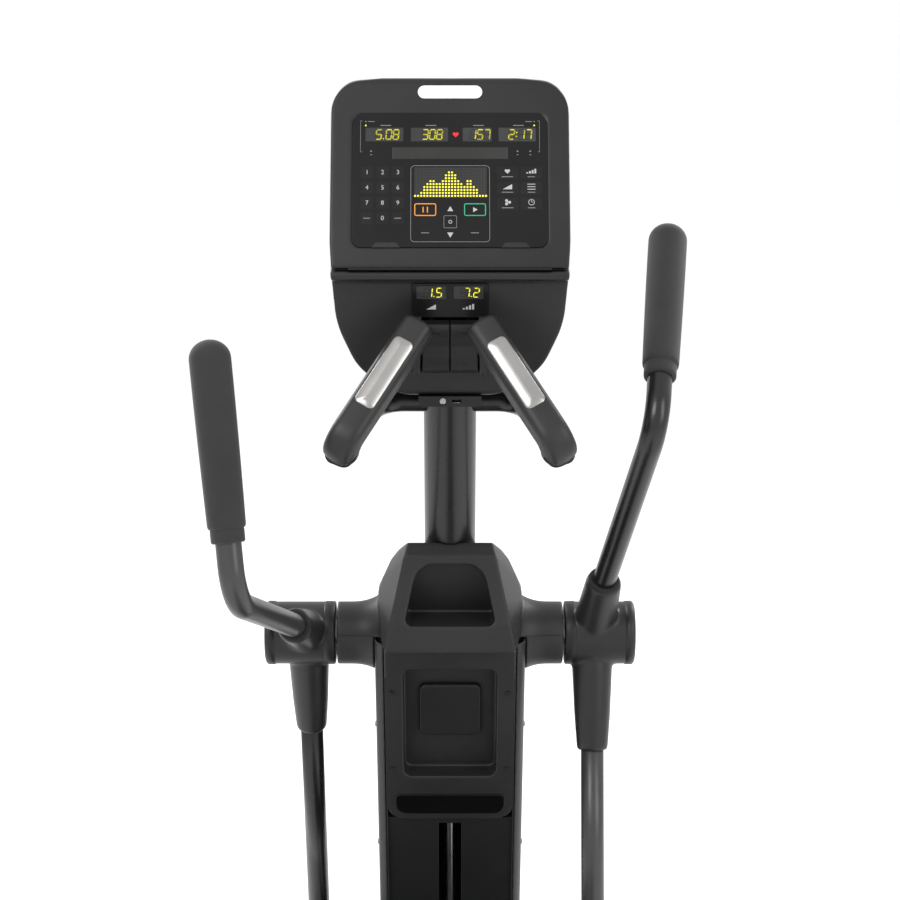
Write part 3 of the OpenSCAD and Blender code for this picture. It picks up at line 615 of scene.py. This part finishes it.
class Sheet:
    """Printed and lit marks on one flat face, gathered into one piece."""

    def __init__(self, place, front=GLASS):
        self.place, self.front = place, front
        self.verts, self.faces, self.which, self.materials = [], [], [], []

    def add(self, outline, material, depth=0.0003):
        if material not in self.materials:
            self.materials.append(material)
        n, start = len(outline), len(self.verts)
        for y in (self.front - depth, self.front + 0.0003):
            self.verts += [self.place @ Vector((x, y, z)) for x, z in outline]
        new = [tuple(range(start, start + n)), tuple(range(start + n, start + 2 * n))]
        new += [(start + i, start + (i + 1) % n, start + n + (i + 1) % n, start + n + i) for i in range(n)]
        self.faces += new
        self.which += [self.materials.index(material)] * len(new)

    def box(self, x, z, w, h, material, r=0.0, depth=0.0003):
        outline = rectangle(w, h, (x, z))
        self.add(rounded(outline, r, 5) if r else outline, material, depth)

    def line(self, x, z, w, h, material, t=0.0006, r=0.002, depth=0.0004):
        """Hollow rounded frame, as four strokes and four corner arcs."""
        for sx in (-1, 1):
            self.box(x + sx * (w - t) / 2, z, t, h - 2 * r, material, 0, depth)
            self.box(x, z + sx * (h - t) / 2, w - 2 * r, t, material, 0, depth)
            for sz in (-1, 1):
                cx, cz = x + sx * (w / 2 - r), z + sz * (h / 2 - r)
                start = math.atan2(sz, sx) - math.pi / 4
                arc = [start + math.pi / 2 * k / 5 for k in range(6)]
                ring = [(cx + r * math.cos(a), cz + r * math.sin(a)) for a in arc]
                ring += [(cx + (r - t) * math.cos(a), cz + (r - t) * math.sin(a)) for a in reversed(arc)]
                self.add(ring, material, depth)

    def disc(self, x, z, r, material, depth=0.0003, sides=16, turn=0.0):
        self.add([(x + r * math.cos(turn + TAU * k / sides), z + r * math.sin(turn + TAU * k / sides))
                  for k in range(sides)], material, depth)

    def triangle(self, x, z, r, material, turn=90.0, depth=0.0004):
        self.disc(x, z, r, material, depth, 3, math.radians(turn))

    def stroke(self, a, b, t, material, depth=0.0004):
        """Straight stroke with pointed ends, as a display segment has."""
        (ax, az), (bx, bz) = a, b
        length = math.hypot(bx - ax, bz - az)
        ux, uz = (bx - ax) / length * t / 2, (bz - az) / length * t / 2
        self.add([(ax, az), (ax + ux - uz, az + uz + ux), (bx - ux - uz, bz - uz + ux), (bx, bz),
                  (bx - ux + uz, bz - uz - ux), (ax + ux + uz, az + uz - ux)], material, depth)

    def heart(self, x, z, size, material):
        turns = [TAU * k / 40 for k in range(40)]
        self.add([(x + size / 34 * 16 * math.sin(a) ** 3,
                   z + size / 34 * (13 * math.cos(a) - 5 * math.cos(2 * a) - 2 * math.cos(3 * a) - math.cos(4 * a)))
                  for a in turns], material, 0.0004)

    def number(self, text, x, z, h, t, material, gap=1.35):
        """Seven-segment number centred at x, z."""
        lit = {"0": "abcdef", "1": "bc", "2": "abged", "3": "abgcd", "4": "fgbc", "5": "afgcd", "6": "afgedc",
               "7": "abc", "8": "abcdefg", "9": "abcdfg"}
        w, lean = h * 0.52, 0.10
        pitch = w * gap
        step = [pitch * (0.42 if c in ".:" else 1.0) for c in text]
        at = x - sum(step) / 2
        for c, s in zip(text, step):
            cx = at + s / 2
            at += s
            if c in ".:":
                for dz in ((-h / 2 + t / 2,) if c == "." else (-h * 0.2, h * 0.2)):
                    self.disc(cx + dz * lean, z + dz, t * 0.62, material, 0.0004, 10)
                continue
            e = t * 0.12
            corner = {"p": (-w / 2, h / 2), "q": (w / 2, h / 2), "r": (-w / 2, 0), "s": (w / 2, 0),
                      "u": (-w / 2, -h / 2), "v": (w / 2, -h / 2)}
            ends = {"a": "pq", "b": "qs", "c": "sv", "d": "uv", "e": "ru", "f": "pr", "g": "rs"}
            for segment in lit[c]:
                (ax, az), (bx, bz) = (corner[k] for k in ends[segment])
                dx, dz = (bx - ax), (bz - az)
                length = math.hypot(dx, dz)
                dx, dz = dx / length * e, dz / length * e
                self.stroke((cx + ax + az * lean + dx, z + az + dz), (cx + bx + bz * lean - dx, z + bz - dz),
                            t, material)

    def piece(self, name, body, slot):
        mesh = bpy.data.meshes.new(name)
        mesh.from_pydata([tuple(v) for v in self.verts], [], self.faces)
        for polygon, index in zip(mesh.polygons, self.which):
            polygon.material_index = index
        outward(mesh)
        obj = linked(name, mesh)
        for material in self.materials:
            mesh.materials.append(material)
        return settle(obj, body, slot)


TOP_ROW = 0.2064                       # height of the top readouts' centres
KEY_ROW = 0.0883                       # height of the pause and start keys
DOT_PITCH, MATRIX_PITCH = 0.0028, 0.0046


def hill(column):
    """Height in dots of the hill profile at one of the matrix's 24 columns."""
    humps = ((5.5, 6.4, 1.15), (11.5, 9.9, 1.5), (17.5, 6.4, 1.5))
    return max(1, round(max(height - fall * abs(column - middle) for middle, height, fall in humps)))


def readout(s, x, z, w, h, text, ghost):
    """A display window with its lit number and the unlit segments behind it."""
    # Window in the lightened smoke tint, which carries a painted reflection
    s.box(x, z, w, h, TINT_AND_PAINTED_REFLECTION, 0.0015, 0.0002)
    s.number(ghost, x + 0.0045, z, h * 0.70, 0.0013, LED_OFF)
    s.number(text, x + 0.0045, z, h * 0.70, 0.0016, LED)


def upper_display():
    s = Sheet(DISPLAY)
    for x, w, text, ghost in ((-0.0982, 0.0566, "5.08", "8.88"), (-0.0308, 0.0557, "308", "888"),
                              (0.0406, 0.0433, "157", "888"), (0.1006, 0.0557, "2:17", "8:88")):
        readout(s, x, TOP_ROW, w, 0.0216, text, ghost)
        s.box(x + 0.002, 0.2208, 0.016, 0.0011, INK_DIM)
    s.heart(0.0085, TOP_ROW, 0.0095, INK_RED)
    for side in (-1, 1):
        s.box(side * 0.1340, 0.2035, 0.0005, 0.049, INK_DIM)
        for z in (0.228, 0.179):
            s.box(side * 0.1326, z, 0.0030, 0.0005, INK_DIM)
        s.disc(side * 0.1262, 0.2208, 0.0012, LED)
        s.disc(side * 0.1262, 0.2270, 0.0009, INK_DIM)
        s.box(side * 0.1180, 0.2270, 0.0100, 0.0009, INK_DIM)
    # Dot-matrix window in the lightened smoke tint, which carries a painted reflection
    s.box(0, 0.177, 0.173, 0.0186, TINT_AND_PAINTED_REFLECTION, 0.001, 0.0002)
    for row in range(7):
        for column in range(60):
            s.disc(-0.0826 + column * DOT_PITCH, 0.1686 + row * DOT_PITCH, 0.00095, LED_OFF, 0.00036, 6)
    for x in (-0.1180, 0.1010, 0.1200):
        s.disc(x, 0.1800, 0.0012, INK_DIM)
        s.box(x, 0.1745, 0.0030, 0.0009, INK_DIM)
    for i, label in enumerate(("1", "2", "3", "4", "5", "6", "7", "8", "9", "", "0", "")):
        x, z = (-0.1237, -0.1005, -0.0777)[i % 3], 0.1466 - (i // 3) * 0.0239
        s.box(x, z, 0.0180, 0.0190, KEY_FACE, 0.003, 0.0002)
        if label:
            printed(s, label, x, z, 0.0068)
        else:
            s.box(x, z, 0.0100, 0.0012, INK_DIM)
    for i in range(6):
        x, z = (0.0856, 0.1213)[i % 2], 0.146 - (i // 2) * 0.0243
        s.box(x, z, 0.0320, 0.0196, KEY_FACE, 0.003, 0.0002)
        keys(s, i, x, z + 0.0025)
        s.box(x, z - 0.0062, (0.0170, 0.0110)[i % 2], 0.0011, INK_DIM)
    s.line(0.0003, 0.0977, 0.1180, 0.1196, INK_DIM, 0.0007, 0.006)
    # Profile window in the lightened smoke tint, which carries a painted reflection
    s.box(0.0007, 0.1306, 0.1085, 0.0476, TINT_AND_PAINTED_REFLECTION, 0.001, 0.0002)
    for column in range(24):
        for row in range(10):
            x, z = -0.0521 + column * MATRIX_PITCH, 0.1098 + row * MATRIX_PITCH
            s.disc(x, z, 0.00155, LED if row < hill(column) else LED_OFF, 0.0004, 8)
    s.line(-0.0368, KEY_ROW, 0.0325, 0.0196, INK_ORANGE, 0.0014, 0.003)
    for dx in (-0.0032, 0.0032):
        s.box(-0.0368 + dx, KEY_ROW, 0.0015, 0.0090, INK_ORANGE)
    s.line(0.0372, KEY_ROW, 0.0325, 0.0196, INK_GREEN, 0.0014, 0.003)
    s.triangle(0.0366, KEY_ROW, 0.0045, INK, 0)
    s.disc(0.0004, 0.0885, 0.0052, INK, 0.0004, 3, math.radians(90))
    s.disc(0.0004, 0.0500, 0.0052, INK, 0.0004, 3, math.radians(-90))
    s.line(0.0004, 0.0694, 0.0196, 0.0196, INK_DIM, 0.0007, 0.002)
    s.disc(0.0004, 0.0694, 0.0028, INK, 0.0004, 20)
    s.disc(0.0004, 0.0694, 0.0018, GLOSS, 0.0006, 20)
    for x in (-0.0368, 0.0369):
        s.box(x, 0.0522, 0.0120, 0.0011, INK_DIM)
    for x in (-0.0953, 0.0973):
        s.add([(x - 0.0215, 0.0296), (x + 0.0215, 0.0296), (x + 0.0150, 0.0372), (x - 0.0150, 0.0372)], BEZEL, 0.0004)
    s.piece("display_graphics", "base", "gloss_window")


def printed(s, text, x, z, h):
    """A printed numeral in the built-in typeface, centred at x, z."""
    curve = bpy.data.curves.new("numeral", "FONT")
    curve.body, curve.size = text, h * 1.4
    curve.align_x, curve.align_y = "CENTER", "CENTER"
    obj = linked("numeral", curve)
    bpy.context.view_layer.update()
    mesh = bpy.data.meshes.new_from_object(obj.evaluated_get(bpy.context.evaluated_depsgraph_get()))
    for polygon in mesh.polygons:
        s.add([(x + mesh.vertices[i].co.x, z + mesh.vertices[i].co.y) for i in polygon.vertices], INK, 0.0004)
    bpy.data.objects.remove(obj)
    bpy.data.meshes.remove(mesh)


def keys(s, i, x, z):
    """Generic icons on the six right-hand keys."""
    if i == 0:
        s.heart(x, z, 0.0085, INK)
    elif i == 1:
        for k in range(4):
            s.box(x - 0.0060 + 0.004 * k, z - 0.0035 + 0.0009 * (k + 1), 0.0026, 0.0018 * (k + 1), INK)
    elif i == 2:
        s.add([(x - 0.007, z - 0.004), (x + 0.007, z - 0.004), (x + 0.007, z + 0.004)], INK)
    elif i == 3:
        for k in range(3):
            s.box(x, z - 0.004 + 0.004 * k, 0.0120, 0.0011, INK)
    elif i == 4:
        for k in range(3):
            a = TAU * k / 3
            s.disc(x + 0.0030 * math.cos(a), z + 0.0030 * math.sin(a), 0.0022, INK)
        s.disc(x, z, 0.0010, INK, 0.0005)
    else:
        s.disc(x, z, 0.0048, INK)
        s.disc(x, z, 0.0038, GLOSS, 0.0006)
        s.stroke((x, z), (x, z + 0.0034), 0.0008, INK, 0.0008)
        s.stroke((x, z), (x + 0.0024, z), 0.0008, INK, 0.0008)


def lower_display():
    s = Sheet(LOWER)
    for x, text in ((-0.0278, "1.5"), (0.0276, "7.2")):
        readout(s, x, -0.0174, 0.0438, 0.0204, text, "88.8")
    s.add([(-0.0350, -0.0448), (-0.0210, -0.0448), (-0.0210, -0.0366)], INK)
    for k in range(4):
        s.box(0.0206 + 0.0046 * k, -0.0448 + 0.0011 * (k + 1), 0.0030, 0.0022 * (k + 1), INK)
    s.piece("lower_display_graphics", "base", "gloss_window")


def paddles():
    for side, sign in SIDES:
        node = "rocker_" + side
        body = "paddle_" + side
        softened(node, "paddle_rocker_" + side, PLASTIC_DARK, 0.0007, 3, body)
        for z, mark in ((0.024, "raise"), (-0.024, "lower")):
            lean = math.radians(14 if z > 0 else -14)
            place = (LOWER @ Matrix.Translation((sign * 0.0212, -0.0136, -0.104 + z)) @ about_x(lean))
            s = Sheet(place, 0.0)
            if mark == "raise":
                s.box(0, 0.001, 0.013, 0.0012, KEY_FACE, 0, 0.0006)
            else:
                s.stroke((-0.007, 0.002), (0, -0.005), 0.0013, KEY_FACE, 0.0006)
                s.stroke((0.007, 0.002), (0, -0.005), 0.0013, KEY_FACE, 0.0006)
            s.piece(f"paddle_mark_{mark}_{side}", body, "gloss_window")


def console():
    softened("console_bezel", "console_front_moulding", BEZEL, 0.0016, 12)
    softened("console_back", "console_back_moulding", PLASTIC, 0.0022, 12)
    overlay = prism("display_overlay", rounded(rectangle(0.2915, 0.211, (0, 0.1355)), [0.014, 0.014, 0.02, 0.02], 10),
                    0.0030, shift(DISPLAY, GLASS), GLOSS, 0.0005, 2)
    settle(overlay, "base", "gloss_window", "display_window")
    overlay = prism("lower_overlay", rounded(rectangle(0.1135, 0.053, (0, -0.0295)), 0.005, 8),
                    0.0030, shift(LOWER, GLASS), GLOSS, 0.0005, 2)
    settle(overlay, "base", "gloss_window", "lower_display")
    pill = prism("blank_pill_badge", rounded(rectangle(0.097, 0.0205, (0, 0.2745)), 0.0102, 10), 0.0022,
                 shift(DISPLAY, -0.0015), BADGE, 0.0007, 3)
    settle(pill, "base", "gloss_window")
    ledge_mat = bar("ledge_strip", UPRIGHT, (-0.150, 0.150), (-0.2815, -0.2600), (0.6538, 0.6552), RUBBER, 0.0005, 2)
    settle(ledge_mat, "base", "rubber")
    back = UPRIGHT @ Matrix.Translation((0, -0.0662, 0.560)) @ about_x(math.atan2(0.014, 0.160))
    vents = [bar("vent", back, (sign * 0.112 - 0.030, sign * 0.112 + 0.030), (-0.002, 0.0016),
                 (0.030 + 0.011 * k, 0.035 + 0.011 * k), PLASTIC_DARK, 0.0007, 2)
             for sign in (-1, 1) for k in range(11)]
    cover(join("console_vents", vents))
    out = back.to_3x3() @ Vector((0, 1, 0))
    screws("console_screws", [(back @ Vector((x, -0.0006, z)), out) for x in (-0.150, 0.150) for z in (0.155, 0.31)]
           + [(back @ Vector((x, -0.0006, 0.012)), out) for x in (-0.095, 0.095)], 0.0045)
    upper_display()
    lower_display()
    paddles()
    ring = lathe("jack_ring", [(0.0031, 0.0), (0.0046, 0.0), (0.0050, 0.0006), (0.0050, 0.0022), (0.0032, 0.0026)],
                 UPRIGHT @ Vector((-0.011, -0.2175, 0.443)), UPRIGHT @ Vector((-0.011, -0.1, 0.443)), TURNED, 32)
    port = bar("data_port_shell", UPRIGHT, (0.0042, 0.0158), (-0.2165, -0.206), (0.4402, 0.4408), TURNED)
    tongue = bar("data_port_tongue", UPRIGHT, (0.0046, 0.0154), (-0.2135, -0.202), (0.4432, 0.4448), PLASTIC_DARK)
    settle(join("jack_fittings", [ring, port, tongue]), "base", "machined_steel")


console()


# ---------------------------------------------------------------- fixed handlebar and pulse grips
HR_TOP = Vector((0.054, -0.292, 0.560))
HR_ELBOW = Vector((0.162, -0.392, 0.410))
HR_END = Vector((0.154, -0.335, 0.400))
HR_R = 0.0245
GRIP_UP = Vector((0, -0.013, 0.009))   # side of a pulse grip that faces the user


def flip(points, sign):
    return [UPRIGHT @ Vector((sign * p.x, p.y, p.z)) for p in points]


def handlebar():
    half = [Vector((0.156, -0.380, 0.398)), Vector((0.150, -0.235, 0.404)), Vector((0.104, -0.136, 0.425))]
    path = rounded([Vector((-p.x, p.y, p.z)) for p in half] + half[::-1], [0, 0.05, 0.05, 0.05, 0.05, 0], 12,
                   closed=False)
    bar_piece = tube("handlebar_bent_tube", [UPRIGHT @ p for p in resample(path, 0.012)], 0.016, TUBE)
    settle(bar_piece, "base", "black_tube", "handlebar")
    for side, sign in SIDES:
        cover(pulse_grip(side, sign), "hr_grip_" + side)
    plates = [pulse_plate(sign) for _, sign in SIDES]
    settle(join("pulse_plates", plates), "base", "contact_metal", "hr_contacts")


def squircle(a, power):
    """Point of a rounded square at angle a, one half wide."""
    c, d = math.cos(a), math.sin(a)
    return (math.copysign(abs(c) ** (2 / power), c), math.copysign(abs(d) ** (2 / power), d))


def pulse_grip(side, sign):
    """Moulded grip: a rounded-square bar with flat, rounded ends that turns down into a short lobe."""
    line = (HR_ELBOW - HR_TOP).normalized()
    path = rounded([HR_TOP - line * 0.020, HR_ELBOW + line * 0.004, HR_END + Vector((-0.004, 0.012, -0.010))],
                   [0, 0.024, 0], 14, closed=False)
    path = resample(path, 0.003)
    total = sum((b - a).length for a, b in zip(path, path[1:]))
    rings, gone = [], 0
    for i, (p, across, up) in enumerate(path_frames(path, GRIP_UP)):
        gone += (path[i] - path[i - 1]).length if i else 0
        t = gone / total
        lobe = min(1, max(0, (t - 0.78) / 0.16))
        r = HR_R * (1 - 0.22 * lobe * lobe * (3 - 2 * lobe))
        power = 3.4 - 1.2 * lobe
        nearest = min(gone, total - gone)
        edge = 0.009 if t < 0.5 else 0.014
        inside = edge - math.sqrt(max(0, edge ** 2 - (edge - min(nearest, edge)) ** 2))
        ring = []
        for k in range(56):
            x, y = squircle(TAU * k / 56, power)
            ring.append(p + (across * x + up * y) * max(0.001, r - inside))
        rings.append(ring)
    return build("pulse_grip_" + side, *loft([flip(ring, sign) for ring in rings]), PLASTIC)


def pulse_plate(sign):
    """Thin metal plate let into the user's side of a pulse grip, with rounded corners and sides."""
    line = HR_ELBOW - HR_TOP
    ahead = line.normalized()
    up = square_to(ahead, GRIP_UP)
    across = ahead.cross(up)
    start, reach, half = HR_TOP + line * 0.10, line.length * 0.57, HR_R * 0.66
    outline = rounded(rectangle(2 * half, reach, (0, reach / 2)), 0.008, 8)
    rings = []
    for inset, lift in ((0.0, -0.0030), (0.0, 0.0004), (0.0006, 0.0010), (0.0020, 0.0014), (0.0060, 0.0022),
                        (0.0110, 0.0026), (0.0150, 0.0027)):
        ring = []
        for x, z in outline:
            x = math.copysign(max(0.0004, abs(x) - inset), x)
            z = min(max(z, inset), reach - inset)
            ring.append(start + ahead * z + across * x + up * (HR_R + lift - 9.0 * x * x))
        rings.append(flip(ring, sign))
    return build("pulse_plate", *loft(rings), PLATE)


handlebar()


# ---------------------------------------------------------------- foot arms, pedals and links
CRANK_R = 0.180
crank_low, crank_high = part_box("crank_axle")
CRANK = (crank_low + crank_high) / 2
BEAM_IN, BEAM_OUT = 0.155, 0.197
PEDAL_FLOOR = 0.037                    # above the foot arm's own axis
PEDAL_X, PEDAL_BACK = 0.176, 0.400
PEDAL_W, PEDAL_L = 0.150, 0.360
LINK_OUTER = 0.2108                    # outer face of a drag link
RIBS = 27                              # cross ribs of a pedal's tread


def foot_frame(side, sign):
    """Foot arm's axes: the origin at its roller, y towards the front along the arm."""
    low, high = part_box("roller_axle_" + side)
    axle = (low + high) / 2
    pin_y = CRANK.y - sign * CRANK_R
    pitch = math.atan2(axle.z - CRANK.z, axle.y - pin_y)
    return (Matrix.Translation((0, axle.y, axle.z)) @ about_x(pitch)
            @ Matrix.Diagonal((sign, 1, 1, 1)))


def edged(node, name, body, width):
    """A painted CAD shape with its edges rounded, in place of its node."""
    obj = copy_of(node, name, FRAME)
    bevel(obj, width, 3, 35)
    apply_modifiers(obj)
    settle(obj, body, "frame_paint", node)


def foot_arm(side, sign):
    body = "foot_arm_" + side
    place = foot_frame(side, sign)
    length = math.hypot(place.translation.y - (CRANK.y - sign * CRANK_R), place.translation.z - CRANK.z)
    edged("foot_arm_" + side, "foot_arm_beam_" + side, body, 0.003)
    softened("pedal_" + side, "pedal_tray_" + side, PLASTIC_DARK, 0.0022, 4, body)

    tread = []
    mat_place = place @ Matrix.Translation((PEDAL_X, -PEDAL_BACK, PEDAL_FLOOR))
    flat = mat_place @ about_x(math.radians(90))
    inner_w, inner_l = PEDAL_W - 0.018, PEDAL_L - 0.018
    tread.append(prism("mat", rounded(rectangle(inner_w, inner_l), [0.036, 0.036, 0.022, 0.022], 8), 0.0022,
                       shift(flat, -0.0022), RUBBER, 0.0006, 2))
    for k in range(RIBS):
        y = -inner_l / 2 + 0.012 + k * (inner_l - 0.024) / (RIBS - 1)
        near = min(1.0, (inner_l / 2 - abs(y)) / 0.036)
        half = inner_w / 2 - 0.006 - 0.030 * (1 - math.sqrt(max(0, 1 - (1 - near) ** 2)))
        for x in (-1, 1):
            tread.append(bar("rib", mat_place, sorted((x * 0.010, x * half)), (y - 0.0021, y + 0.0021),
                             (0.002, 0.0042), RUBBER, 0.0009, 2))
    for x in (-0.0045, 0.0, 0.0045):
        tread.append(bar("rib", mat_place, (x - 0.001, x + 0.001), (-inner_l / 2 + 0.02, inner_l / 2 - 0.02),
                         (0.002, 0.0038), RUBBER, 0.0006, 2))
    settle(join("pedal_tread_" + side, tread), body, "rubber")
    up = (place.to_3x3() @ Vector((0, 0, 1))).normalized()
    out = Vector((sign, 0, 0))
    bolts = [(mat_place @ Vector((x, y, 0.0020)), up) for x in (-0.045, 0.045) for y in (-0.135, 0.135)]
    screws("pedal_bolts_" + side, bolts, 0.0055, body)
    end = place @ Vector((0, -length, 0))
    cap = turned_out("foot_arm_end_cap_" + side,
                     [(0.0, 0.0), (0.030, 0.0), (0.0318, 0.0012), (0.0320, 0.0030), (0.026, 0.0042),
                      (0.010, 0.0046), (0, 0.0046)], sign, BEAM_OUT - 0.0006, end, PLASTIC, 64)
    settle(cap, body, "cover_plastic")
    slots = [bar("weld_bead", place, (BEAM_IN - 0.001, BEAM_OUT + 0.001), (y - 0.003, y + 0.003), (0.0235, 0.0275),
                 FRAME, 0.0018, 3) for y in (-PEDAL_BACK - 0.183, -PEDAL_BACK + 0.183)]
    settle(join("foot_arm_welds_" + side, slots), body, "frame_paint")


def link(side, sign):
    node = "drag_link_" + side
    edged(node, "drag_link_bar_" + side, node, 0.0022)
    bush_low, bush_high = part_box("link_bush_" + side)
    start = (bush_low + bush_high) / 2
    ring = turned_out("link_washer_" + side,
                      [(0.0092, 0.0), (0.0160, 0.0), (0.0172, 0.0006), (0.0172, 0.0010), (0.0092, 0.0014)],
                      sign, LINK_OUTER + 0.0002, start, TURNED, 48)
    settle(ring, "link_bush_" + side, "machined_steel")
    boss = turned_out("link_boss_" + side,
                      [(0.0, 0.0), (0.012, 0.0), (0.0132, 0.0008), (0.0132, 0.0012), (0.0, 0.0013)],
                      sign, LINK_OUTER, handle_eye(sign), TURNED, 48)
    settle(boss, node, "machined_steel")


def handle_eye(sign):
    """Centre of a handle's lower eye."""
    return arm_place(sign) @ Vector((ARM_X, 0, -LOWER_REACH))


def lower_eye_bolt(side, sign):
    bolt = turned_out("handle_eye_bolt_" + side,
                      [(0.0, 0.0), (0.0118, 0.0), (0.0118, 0.0055), (0.0104, 0.0070), (0.0058, 0.0072),
                       (0.0054, 0.0068), (0.0052, 0.0030), (0.0, 0.0030)],
                      sign, ARM_X + 0.0205, handle_eye(sign), TURNED, 32)
    settle(bolt, "handle_" + side, "machined_steel")


for side, sign in SIDES:
    foot_arm(side, sign)
    link(side, sign)
    lower_eye_bolt(side, sign)


# ---------------------------------------------------------------- rear drive covers and base
DRIVE_FACE = 0.1078                    # outer face of a drive cover
DRIVE_SCREWS = ((-0.96, 0.13), (-0.50, 0.13), (-0.74, 0.135), (-0.95, 0.36), (-0.53, 0.44), (-0.72, 0.52))


def rear_covers():
    for side, sign in SIDES:
        softened("rear_cover_" + side, "drive_cover_" + side, PLASTIC, 0.0030, 5)
        ring = turned_out("crank_ring_" + side,
                          [(0.0245, 0.0), (0.062, 0.0), (0.0655, 0.0008), (0.066, 0.0026), (0.0630, 0.0038),
                           (0.052, 0.0040), (0.050, 0.0026), (0.034, 0.0026), (0.032, 0.0040), (0.0245, 0.0040)],
                          sign, DRIVE_FACE, CRANK, PLASTIC_DARK, 96)
        cover(ring)
        out = Vector((sign, 0, 0))
        screws("drive_cover_screws_" + side,
               [(Vector((sign * (DRIVE_FACE - 0.0002), y, z)), out) for y, z in DRIVE_SCREWS], 0.0052)
        depth = sorted((sign * (DRIVE_FACE - 0.001), sign * (DRIVE_FACE + 0.0012)))
        groove = [bar("groove", Matrix.Identity(4), depth, (-0.93, -0.80), (0.165 + 0.014 * k, 0.171 + 0.014 * k),
                      PLASTIC_DARK, 0.0009, 2)
                  for k in range(7)]
        cover(join("drive_cover_louvres_" + side, groove))


def feet_and_wheels():
    low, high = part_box("levelling_feet")
    nuts = []
    for x in (low.x + 0.024, high.x - 0.024):
        for y in (low.y + 0.024, high.y - 0.024):
            at = Vector((x, y, 0.0205))
            nuts.append(lathe("nut", [(0.0085, 0.0), (0.0145, 0.0), (0.0150, 0.0008), (0.0150, 0.0072),
                                      (0.0142, 0.0080), (0.0085, 0.0080)], at, at + Vector((0, 0, 1)), TURNED, 6))
    settle(join("foot_lock_nuts", nuts), "base", "machined_steel")
    for side, sign in SIDES:
        low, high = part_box("transport_wheel_" + side)
        middle, half = (low + high) / 2, (high.x - low.x) / 2
        r, wide = (high.z - low.z) / 2, 2 * half
        tyre = lathe("transport_tyre_" + side,
                     [(0.0082, 0.0), (0.018, 0.0), (0.019, 0.003), (r - 0.010, 0.003), (r - 0.008, 0.0),
                      (r - 0.002, 0.0008), (r, 0.004), (r, wide - 0.004), (r - 0.002, wide - 0.0008),
                      (r - 0.008, wide), (r - 0.010, wide - 0.003), (0.019, wide - 0.003), (0.018, wide),
                      (0.0082, wide)],
                     middle - Vector((sign * half, 0, 0)), middle + Vector((sign * half, 0, 0)), RUBBER, 72)
        settle(tyre, "transport_wheel_" + side, "rubber", "transport_wheel_" + side)
    caps = [bar("end_cap", Matrix.Identity(4), sorted((sign * 0.2985, sign * 0.3015)), (y - 0.0295, y + 0.0295),
                (0.0325, 0.0815), PLASTIC_DARK, 0.0012, 3) for sign in (-1, 1) for y in (-0.955, 0.955)]
    cover(join("base_end_caps", caps))
    bolts = [(x, y, 0.0995) for x in (-0.045, 0.045) for y in (-0.43, -0.39)]
    bolts += [(x, y, 0.1015) for x in (-0.046, 0.046) for y in (0.815, 0.890)]
    screws("base_bolts", [(Vector(at), Vector((0, 0, 1))) for at in bolts], 0.0060)


rear_covers()
feet_and_wheels()


# ---------------------------------------------------------------- CAD nodes that show as they are
def finish_cad_nodes():
    """Every carried-over node gets its material, and a small bevel where its edges show."""
    looks = {
        FRAME: ("base_frame", "ramp_frame"),
        TUBE: ("mast",),
        PLASTIC_DARK: ("lower_panel", "power_inlet", "jack_panel", "ramp_cover"),
        MOTOR: ("lift_motor", "resistance_brake"),
        TURNED: ("pivot_shaft", "crank_axle", "crank_bearings", "flywheel", "roller_axle_left", "roller_axle_right",
                 "lead_screw", "lift_carriage"),
        CAST: ("crank_arms",),
        TRACK: ("ramp_tracks",),
        BRONZE: ("axle_bush_left", "axle_bush_right", "link_bush_left", "link_bush_right"),
        RUBBER: ("levelling_feet", "drive_belt"),
        NYLON: ("roller_left", "roller_right"),
        BOARD: ("circuit_board",),
    }
    widths = {"base_frame": 0.0025, "ramp_frame": 0.0015, "crank_arms": 0.0025, "levelling_feet": 0.0015,
              "ramp_cover": 0.003, "lower_panel": 0.0008, "power_inlet": 0.001, "jack_panel": 0.0008,
              "flywheel": 0.002, "roller_left": 0.0012, "roller_right": 0.0012,
              "lift_carriage": 0.001, "lift_motor": 0.002, "resistance_brake": 0.002,
              "ramp_tracks": 0.0006}
    for material, names in looks.items():
        for name in names:
            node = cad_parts[name]
            node.data.materials.clear()
            node.data.materials.append(material)
            if name in widths:
                bevel(node, widths[name], 2, 35)


finish_cad_nodes()


# ---------------------------------------------------------------- floor, light and camera
def stage():
    size = 150
    aim = Vector((0, 0.5, 1.2))
    paint = glowing("studio_floor", (0.88, 0.88, 0.88), 0.16, 3, 0.995)
    floor = build("floor", [(-size, -size, 0), (size, -size, 0), (size, size, 0), (-size, size, 0)], [(0, 1, 2, 3)],
                  paint, False)
    world = bpy.data.worlds.new("studio")
    bpy.context.scene.world = world
    world.use_nodes = True
    world.node_tree.nodes["Background"].inputs["Color"].default_value = (1.0, 1.0, 1.0, 1)
    world.node_tree.nodes["Background"].inputs["Strength"].default_value = 0.95
    for name, at, width, height, power in (
            ("key", (-2.2, -2.6, 4.0), 1.8, 1.8, 90), ("fill", (2.8, -1.8, 2.6), 1.4, 2.4, 45),
            ("rim_left", (-2.4, 3.0, 3.0), 0.8, 2.6, 70), ("rim_right", (2.4, 3.0, 3.0), 0.8, 2.6, 70)):
        light = bpy.data.lights.new(name, "AREA")
        light.shape = "RECTANGLE"
        light.size, light.size_y = width, height
        light.energy = power
        lamp = linked(name, light)
        lamp.location = at
        lamp.rotation_mode = "QUATERNION"
        lamp.rotation_quaternion = (Vector(at) - aim).to_track_quat("Z", "Y")


def camera():
    """Straight in front of the user's side, above the console and looking a little down."""
    lens = bpy.data.cameras.new("camera")
    lens.lens = 84.44
    lens.sensor_width = 36
    cam = linked("camera", lens)
    cam.location = PIVOT + Vector((0, -3.353, 1.131))
    cam.rotation_euler = (math.radians(76.3), 0, 0)
    lens.clip_start, lens.clip_end = 0.05, 500
    lens.dof.use_dof = False
    bpy.context.scene.camera = cam


stage()
camera()
bpy.context.scene.view_settings.view_transform = "Standard"
